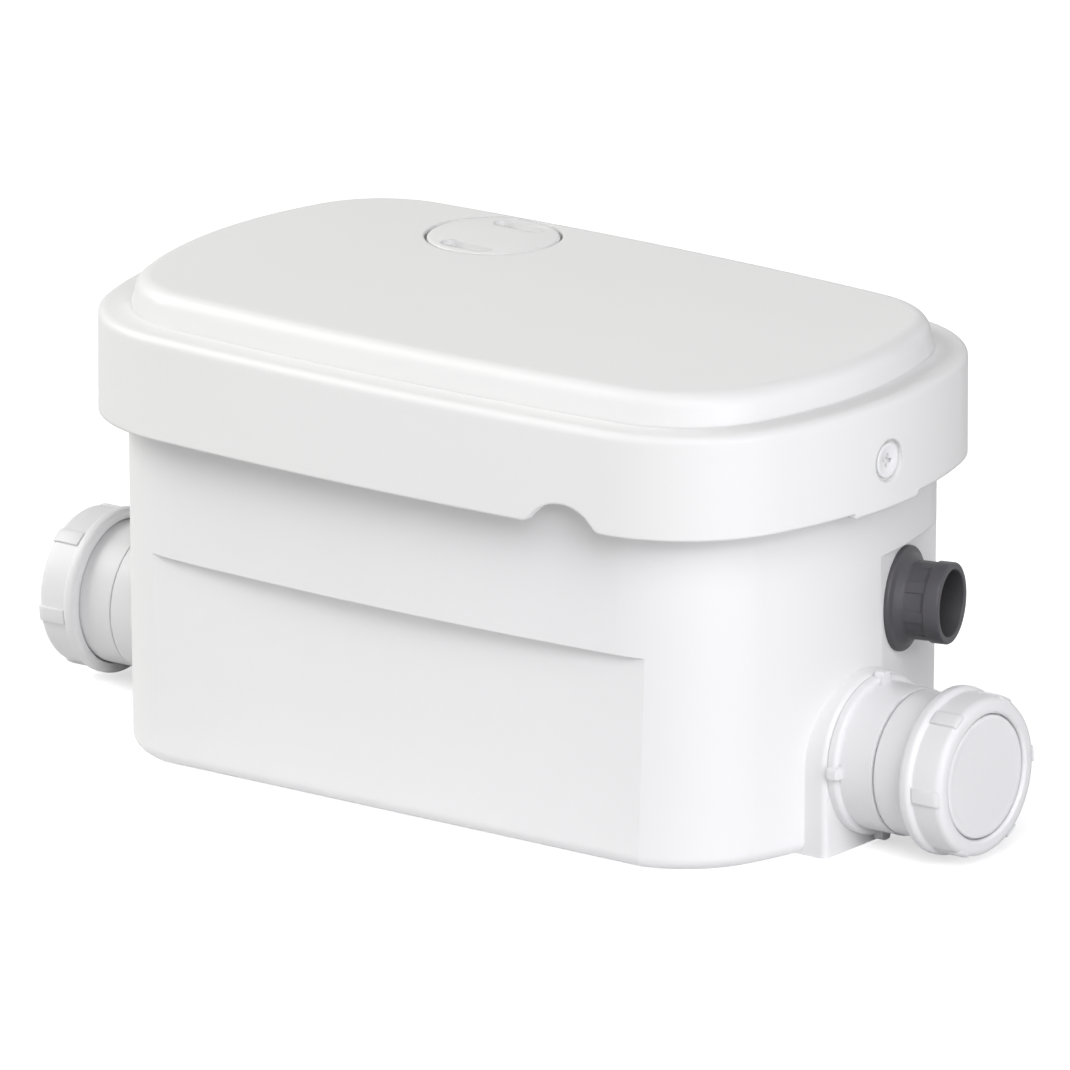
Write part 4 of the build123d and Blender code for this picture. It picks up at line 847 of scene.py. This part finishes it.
@dataclass(frozen=True)
class DischargeSpigot:
    """Dark discharge tube with a flange and sunk flats round its root."""

    axis_start: Point = (1.522, -5.680)
    angle: float = 15.0
    height: float = 76.0
    turn: float = 10.0
    tail_start: float = 125.0
    tail_radius: float = 13.6
    tail_round: float = 0.3
    foot: float = 137.0
    flange_radius: float = 18.1
    flange_height: float = 1.6
    flange_round: float = 0.9
    cone_foot: float = 16.0
    cone_rise: float = 0.9
    cone_height: float = 3.2
    cone_round: float = 0.8
    root_radius: float = 13.6
    seat_start: float = 149.6
    seat_rise: float = 0.4
    seat_round: float = 0.2
    radius: float = 14.0
    tip: float = 154.9
    tip_round: float = 0.7
    bore: float = 11.5
    bore_round: float = 0.5
    flats: int = 8
    flat_depth: float = 0.4
    flat_margin: float = 0.3
    ridge_share: float = 0.16
    root_gap: float = 0.3
    seat_gap: float = 0.5
    inner_wall: float = 1.0
    soft_width: float = 0.3
    soft_above: float = 35.0
    turns: int = 96

    @property
    def root(self) -> float:
        """Distance from the tank's middle at which the tube leaves the flange's cone."""
        return self.foot + self.flange_height + self.cone_height

    def section(self) -> list[Point]:
        """Half-section of the spigot without its flats.

        Returns:
            Radius and height of each point.
        """
        flange_top = self.foot + self.flange_height
        return rounded(
            [
                (self.bore, self.tail_start, self.tail_round),
                (self.tail_radius, self.tail_start, self.tail_round),
                (self.tail_radius, self.foot, 0.0),
                (self.flange_radius, self.foot, 0.0),
                (self.flange_radius, flange_top, self.flange_round),
                (self.cone_foot, flange_top + self.cone_rise, self.cone_round),
                (self.root_radius, self.root, self.cone_round),
                (self.root_radius, self.seat_start - self.seat_rise, self.seat_round),
                (self.radius, self.seat_start, self.seat_round),
                (self.radius, self.tip, self.tip_round),
                (self.bore, self.tip, self.bore_round),
            ],
            ring=True,
        )

    def in_flat(self, centre: Vector) -> bool:
        """Says if a face belongs to a sunk flat.

        Args:
            centre: Centre of the face in millimetres, with the tank's middle at height 0.

        Returns:
            True for the faces that are sunk.
        """
        sector = 360.0 / self.flats
        turn = degrees(atan2(centre.y, centre.x)) % sector
        off_ridge = min(turn, sector - turn) > self.ridge_share * sector
        outside = hypot(centre.x, centre.y) > self.bore + self.inner_wall
        on_root = self.root + self.root_gap < centre.z < self.seat_start - self.seat_gap
        return outside and off_ridge and on_root

    def build(self, wardrobe: Wardrobe) -> None:
        """Models the spigot and puts it in place of its CAD node.

        Args:
            wardrobe: Source of the finish.
        """
        piece = turned("discharge_spigot_visual", self.section(), True, self.turns)
        pick_faces(piece, self.in_flat)
        bpy.ops.mesh.inset(thickness=self.flat_margin * MM, depth=0.0)
        bpy.ops.mesh.extrude_region_shrink_fatten(
            TRANSFORM_OT_shrink_fatten={"value": -self.flat_depth * MM}
        )
        leave_edit()
        soften(piece, self.soft_width, self.soft_above)
        out = (cos(radians(self.angle)), sin(radians(self.angle)), 0.0)
        Seat((*self.axis_start, self.height), out, self.turn).settle(piece)
        wardrobe.dress(piece, "grey_spigot")
        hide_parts("discharge_spigot")
        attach(piece, "root")


@dataclass(frozen=True)
class VentCap:
    """Round cap of the vent with two finger pockets and a plug lip below."""

    centre: Point = (-53.5, 49.6)
    top: float = 166.3
    thickness: float = 5.0
    middle_radius: float = 0.5
    radius: float = 22.8
    foot_round: float = 0.2
    rim_round: float = 0.9
    lip_radius: float = 17.6
    lip_inner: float = 14.4
    lip_height: float = 4.0
    lip_round: float = 0.2
    lip_root_round: float = 0.3
    groove: float = 1.24
    groove_depth: float = 1.9
    groove_round: float = 0.9
    pocket_length: float = 20.0
    pocket_width: float = 7.0
    pocket_offset: float = 15.0
    pocket_depth: float = 3.4
    pocket_turns: int = 48

    def section(self) -> list[Point]:
        """Half-section of the cap without its pockets.

        Returns:
            Radius and height of each point.
        """
        middle = -self.lip_height / 2.0
        return rounded(
            [
                (self.middle_radius, 0.0, 0.0),
                (self.lip_inner, 0.0, self.lip_root_round),
                (self.lip_inner, -self.lip_height, self.lip_round),
                (self.lip_radius, -self.lip_height, self.lip_round),
                (self.lip_radius, middle - self.groove, 0.0),
                (self.lip_radius - self.groove_depth, middle, self.groove_round),
                (self.lip_radius, middle + self.groove, 0.0),
                (self.lip_radius, 0.0, 0.0),
                (self.radius, 0.0, self.foot_round),
                (self.radius, self.thickness, self.rim_round),
                (self.middle_radius, self.thickness, 0.0),
            ],
            ring=False,
        )

    def pocket(self, side: float) -> bpy.types.Object:
        """Makes the cutter of a finger pocket: a cylinder with its halves moved apart.

        Args:
            side: Side of the cap, 1 for the back and -1 for the front.

        Returns:
            The cutter.
        """
        bpy.ops.object.select_all(action="DESELECT")
        bpy.ops.mesh.primitive_cylinder_add(vertices=self.pocket_turns, radius=MM, depth=2.0 * MM)
        cutter = bpy.context.object
        edit(cutter, action="SELECT")
        half = self.pocket_width / 2.0
        size = (half, half, self.pocket_depth)
        bpy.ops.transform.resize(value=size, center_override=ORIGIN)
        leave_edit()
        reach = (self.pocket_length / 2.0 - half) * MM
        for sign in (1.0, -1.0):
            edit(cutter)
            mesh = bmesh.from_edit_mesh(cutter.data)
            for vertex in mesh.verts:
                vertex.select_set(vertex.co.x * sign > WELD)
            bmesh.update_edit_mesh(cutter.data)
            bpy.ops.transform.translate(value=(sign * reach, 0.0, 0.0))
            leave_edit()
        edit(cutter, action="SELECT")
        place = (0.0, side * self.pocket_offset * MM, self.thickness * MM)
        bpy.ops.transform.translate(value=place)
        leave_edit()
        return cutter

    def build(self, wardrobe: Wardrobe) -> None:
        """Models the cap and puts it in place of its CAD node.

        Args:
            wardrobe: Source of the finish.
        """
        piece = turned("vent_cap_visual", self.section(), False)
        cut_away(piece, self.pocket(1.0))
        cut_away(piece, self.pocket(-1.0))
        Seat((*self.centre, self.top - self.thickness), (0.0, 0.0, 1.0)).settle(piece)
        wardrobe.dress(piece, "white_lid")
        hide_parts("vent_cap")
        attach(piece, "vent_cap")


@dataclass(frozen=True)
class LidScrew:
    """Screw with a broad head that is dished in the middle and has a driver cross."""

    end: End
    height: float = 134.0
    tip: float = 140.9
    tip_radius: float = 0.3
    tip_round: float = 0.4
    shank_radius: float = 2.5
    seat: float = 148.4
    seat_round: float = 0.2
    face: float = 149.5
    head_radius: float = 6.1
    head_round: float = 0.45
    dish_radius: float = 5.0
    dish_round: float = 0.4
    dish_floor: float = 2.5
    dish_floor_round: float = 1.2
    dish_depth: float = 0.6
    slot_length: float = 4.7
    slot_width: float = 1.3
    slot_depth: float = 1.1
    slot_round: float = 0.4
    slot_strips: int = 3
    slot_turn: float = 12.0
    turns: int = 64

    @property
    def floor(self) -> float:
        """Height of the dish's floor over the head's seat."""
        return self.face - self.seat - self.dish_depth

    def section(self) -> list[Point]:
        """Half-section of the screw without its driver cross.

        Returns:
            Radius and height of each point.
        """
        head = self.face - self.seat
        point = self.tip - self.seat
        return rounded(
            [
                (self.tip_radius, point, 0.0),
                (self.shank_radius, point, self.tip_round),
                (self.shank_radius, 0.0, 0.0),
                (self.head_radius, 0.0, self.seat_round),
                (self.head_radius, head, self.head_round),
                (self.dish_radius, head, self.dish_round),
                (self.dish_floor, self.floor, self.dish_floor_round),
                (self.tip_radius, self.floor, 0.0),
            ],
            ring=False,
        )

    def slot(self, turn: float) -> bpy.types.Object:
        """Makes the cutter of one arm of the driver cross.

        Args:
            turn: Turn of the arm about the screw's axis, in degrees.

        Returns:
            The cutter.
        """
        bpy.ops.object.select_all(action="DESELECT")
        bpy.ops.mesh.primitive_cube_add(size=2.0 * MM)
        cutter = bpy.context.object
        edit(cutter, action="SELECT")
        size = (self.slot_length / 2.0, self.slot_width / 2.0, self.slot_depth)
        bpy.ops.transform.resize(value=size, center_override=ORIGIN)
        bpy.ops.mesh.bevel(offset=self.slot_round * MM, segments=self.slot_strips, affect="EDGES")
        bpy.ops.mesh.select_all(action="SELECT")
        bpy.ops.transform.rotate(value=radians(turn), orient_axis="Z", center_override=ORIGIN)
        bpy.ops.transform.translate(value=(0.0, 0.0, self.floor * MM))
        leave_edit()
        return cutter

    def build(self, wardrobe: Wardrobe) -> None:
        """Models the screw and puts it in place of its CAD node.

        Args:
            wardrobe: Source of the finish.
        """
        piece = turned(f"lid_screw_{self.end.word}_visual", self.section(), False, self.turns)
        cut_away(piece, self.slot(self.slot_turn))
        cut_away(piece, self.slot(self.slot_turn + 90.0))
        Seat.at_end(self.end, self.seat, self.height).settle(piece)
        wardrobe.dress(piece, "white_fitting")
        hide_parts(f"lid_screw_{self.end.word}")
        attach(piece, f"lid_screw_{self.end.word}")


@dataclass(frozen=True)
class Softbox:
    """A soft square lamp that faces the object, with its sizes in metres."""

    name: str
    azimuth: float
    elevation: float
    power: float
    colour: Colour = (1.0, 1.0, 1.0)
    distance: float = 3.0
    side: float = 2.0
    aim_height: float = 0.08

    def place(self) -> None:
        """Adds the lamp, at an azimuth that is 0 in front and 90 degrees off the right end."""
        across, up = radians(self.azimuth), radians(self.elevation)
        away = Vector((sin(across) * cos(up), -cos(across) * cos(up), sin(up)))
        data = bpy.data.lights.new(self.name, "AREA")
        data.shape = "SQUARE"
        data.size = self.side
        data.energy = self.power
        data.color = self.colour
        lamp = bpy.data.objects.new(self.name, data)
        lamp.location = away * self.distance + Vector((0.0, 0.0, self.aim_height))
        lamp.rotation_mode = "QUATERNION"
        lamp.rotation_quaternion = away.to_track_quat("Z", "Y")
        bpy.context.scene.collection.objects.link(lamp)


@dataclass(frozen=True)
class Studio:
    """Camera, lights, floor and surroundings, with their sizes in metres."""

    azimuth: float = radians(36.867)
    elevation: float = radians(16.506)
    distance: float = 10.18595
    pixels_per_radian: float = 29999.765
    picture_width: float = 1070.0
    sensor_width: float = 36.0
    shift_right: float = 0.001059
    shift_up: float = 0.077993
    view_depth: float = 100.0
    ambient: float = 0.02
    floor_size: float = 16.0
    floor_drop: float = 0.0003
    base_reach: float = 0.0009
    floor_tone: float = 0.83
    floor_roughness: float = 0.9
    floor_glow: float = 0.6
    lamps: tuple[Softbox, ...] = (
        Softbox("left_softbox", -70.0, 33.0, 74.0, (1.0, 1.0, 0.975)),
        Softbox("front_softbox", 45.0, 43.0, 58.0, (0.985, 0.98, 1.0)),
        Softbox("end_softbox", 75.0, 15.0, 40.0, (0.97, 0.965, 1.0)),
        Softbox("base_softbox", 40.0, -60.0, 60.0),
    )

    def axes(self) -> tuple[Vector, Vector, Vector]:
        """Directions of the camera.

        Returns:
            Back, right and up.
        """
        across, up = self.azimuth, self.elevation
        back = Vector((sin(across) * cos(up), -cos(across) * cos(up), sin(up)))
        right = Vector((cos(across), sin(across), 0.0))
        return back, right, back.cross(right)

    def place_camera(self) -> None:
        """Adds the camera at the photograph's angle."""
        back, right, up = self.axes()
        data = bpy.data.cameras.new("photo_camera")
        data.sensor_width = self.sensor_width
        data.lens = self.pixels_per_radian / self.picture_width * self.sensor_width
        data.clip_end = self.view_depth
        camera = bpy.data.objects.new("photo_camera", data)
        camera.matrix_world = Matrix((right, up, back)).transposed().to_4x4()
        camera.location = back * self.distance + right * self.shift_right + up * self.shift_up
        bpy.context.scene.collection.objects.link(camera)
        bpy.context.scene.camera = camera

    def light(self) -> None:
        """Adds the lamps and the surroundings, which look white and shine only faintly."""
        for lamp in self.lamps:
            lamp.place()
        world = bpy.data.worlds.new("studio_world")
        world.use_nodes = True
        tree = world.node_tree
        surround = tree.nodes["Background"]
        surround.inputs["Color"].default_value = WHITE
        ray = new_node(tree, "LightPath").outputs
        mirrored = worked_out(tree, "MAXIMUM", ray["Is Glossy Ray"], ray["Is Transmission Ray"])
        seen = worked_out(tree, "MAXIMUM", ray["Is Camera Ray"], mirrored)
        tree.links.new(ranged(tree, seen, {"To Min": self.ambient}), surround.inputs["Strength"])
        bpy.context.scene.world = world

    def floor_material(self) -> bpy.types.Material:
        """Makes the floor's white, which is clear from below.

        Returns:
            The material.
        """
        material, tree, shader = shader_of("floor_white")
        shader.inputs["Base Color"].default_value = (*[self.floor_tone] * 3, 1.0)
        shader.inputs["Roughness"].default_value = self.floor_roughness
        shader.inputs["Specular IOR Level"].default_value = 0.0
        shader.inputs["Emission Color"].default_value = WHITE
        ray = new_node(tree, "LightPath").outputs
        glow = worked_out(tree, "MULTIPLY", ray["Is Camera Ray"], self.floor_glow)
        tree.links.new(glow, shader.inputs["Emission Strength"])
        from_base = worked_out(tree, "LESS_THAN", ray["Ray Length"], self.base_reach)
        from_below = new_node(tree, "NewGeometry").outputs["Backfacing"]
        either = new_node(tree, "MixShader")
        tree.links.new(worked_out(tree, "MAXIMUM", from_below, from_base), either.inputs["Fac"])
        tree.links.new(shader.outputs["BSDF"], either.inputs[1])
        tree.links.new(new_node(tree, "BsdfTransparent").outputs["BSDF"], either.inputs[2])
        tree.links.new(either.outputs["Shader"], tree.nodes["Material Output"].inputs["Surface"])
        return material

    def floor(self) -> None:
        """Adds the pale floor.

        It keeps the object's shadow. From below it is clear, also to the light on the base.
        """
        bpy.ops.object.select_all(action="DESELECT")
        bpy.ops.mesh.primitive_plane_add(size=self.floor_size)
        plane = bpy.context.object
        plane.name = "studio_floor"
        edit(plane, action="SELECT")
        bpy.ops.transform.translate(value=(0.0, 0.0, -self.floor_drop))
        leave_edit()
        plane.data.materials.append(self.floor_material())

    def build(self) -> None:
        """Sets up the whole studio."""
        self.place_camera()
        self.light()
        self.floor()
        bpy.context.scene.view_settings.view_transform = "Standard"


def main() -> None:
    """Builds the studio, dresses the CAD nodes and models the visible fittings."""
    logging.basicConfig(level=logging.INFO, format="%(name)s: %(message)s")
    Studio().build()
    wardrobe = Wardrobe()
    wardrobe.dress_nodes()
    for end in End:
        UnionNut(end).build(wardrobe)
        BlankingDisc(end).build(wardrobe)
        LidScrew(end).build(wardrobe)
    DischargeSpigot().build(wardrobe)
    VentCap().build(wardrobe)


if __name__ == "__main__":
    main()
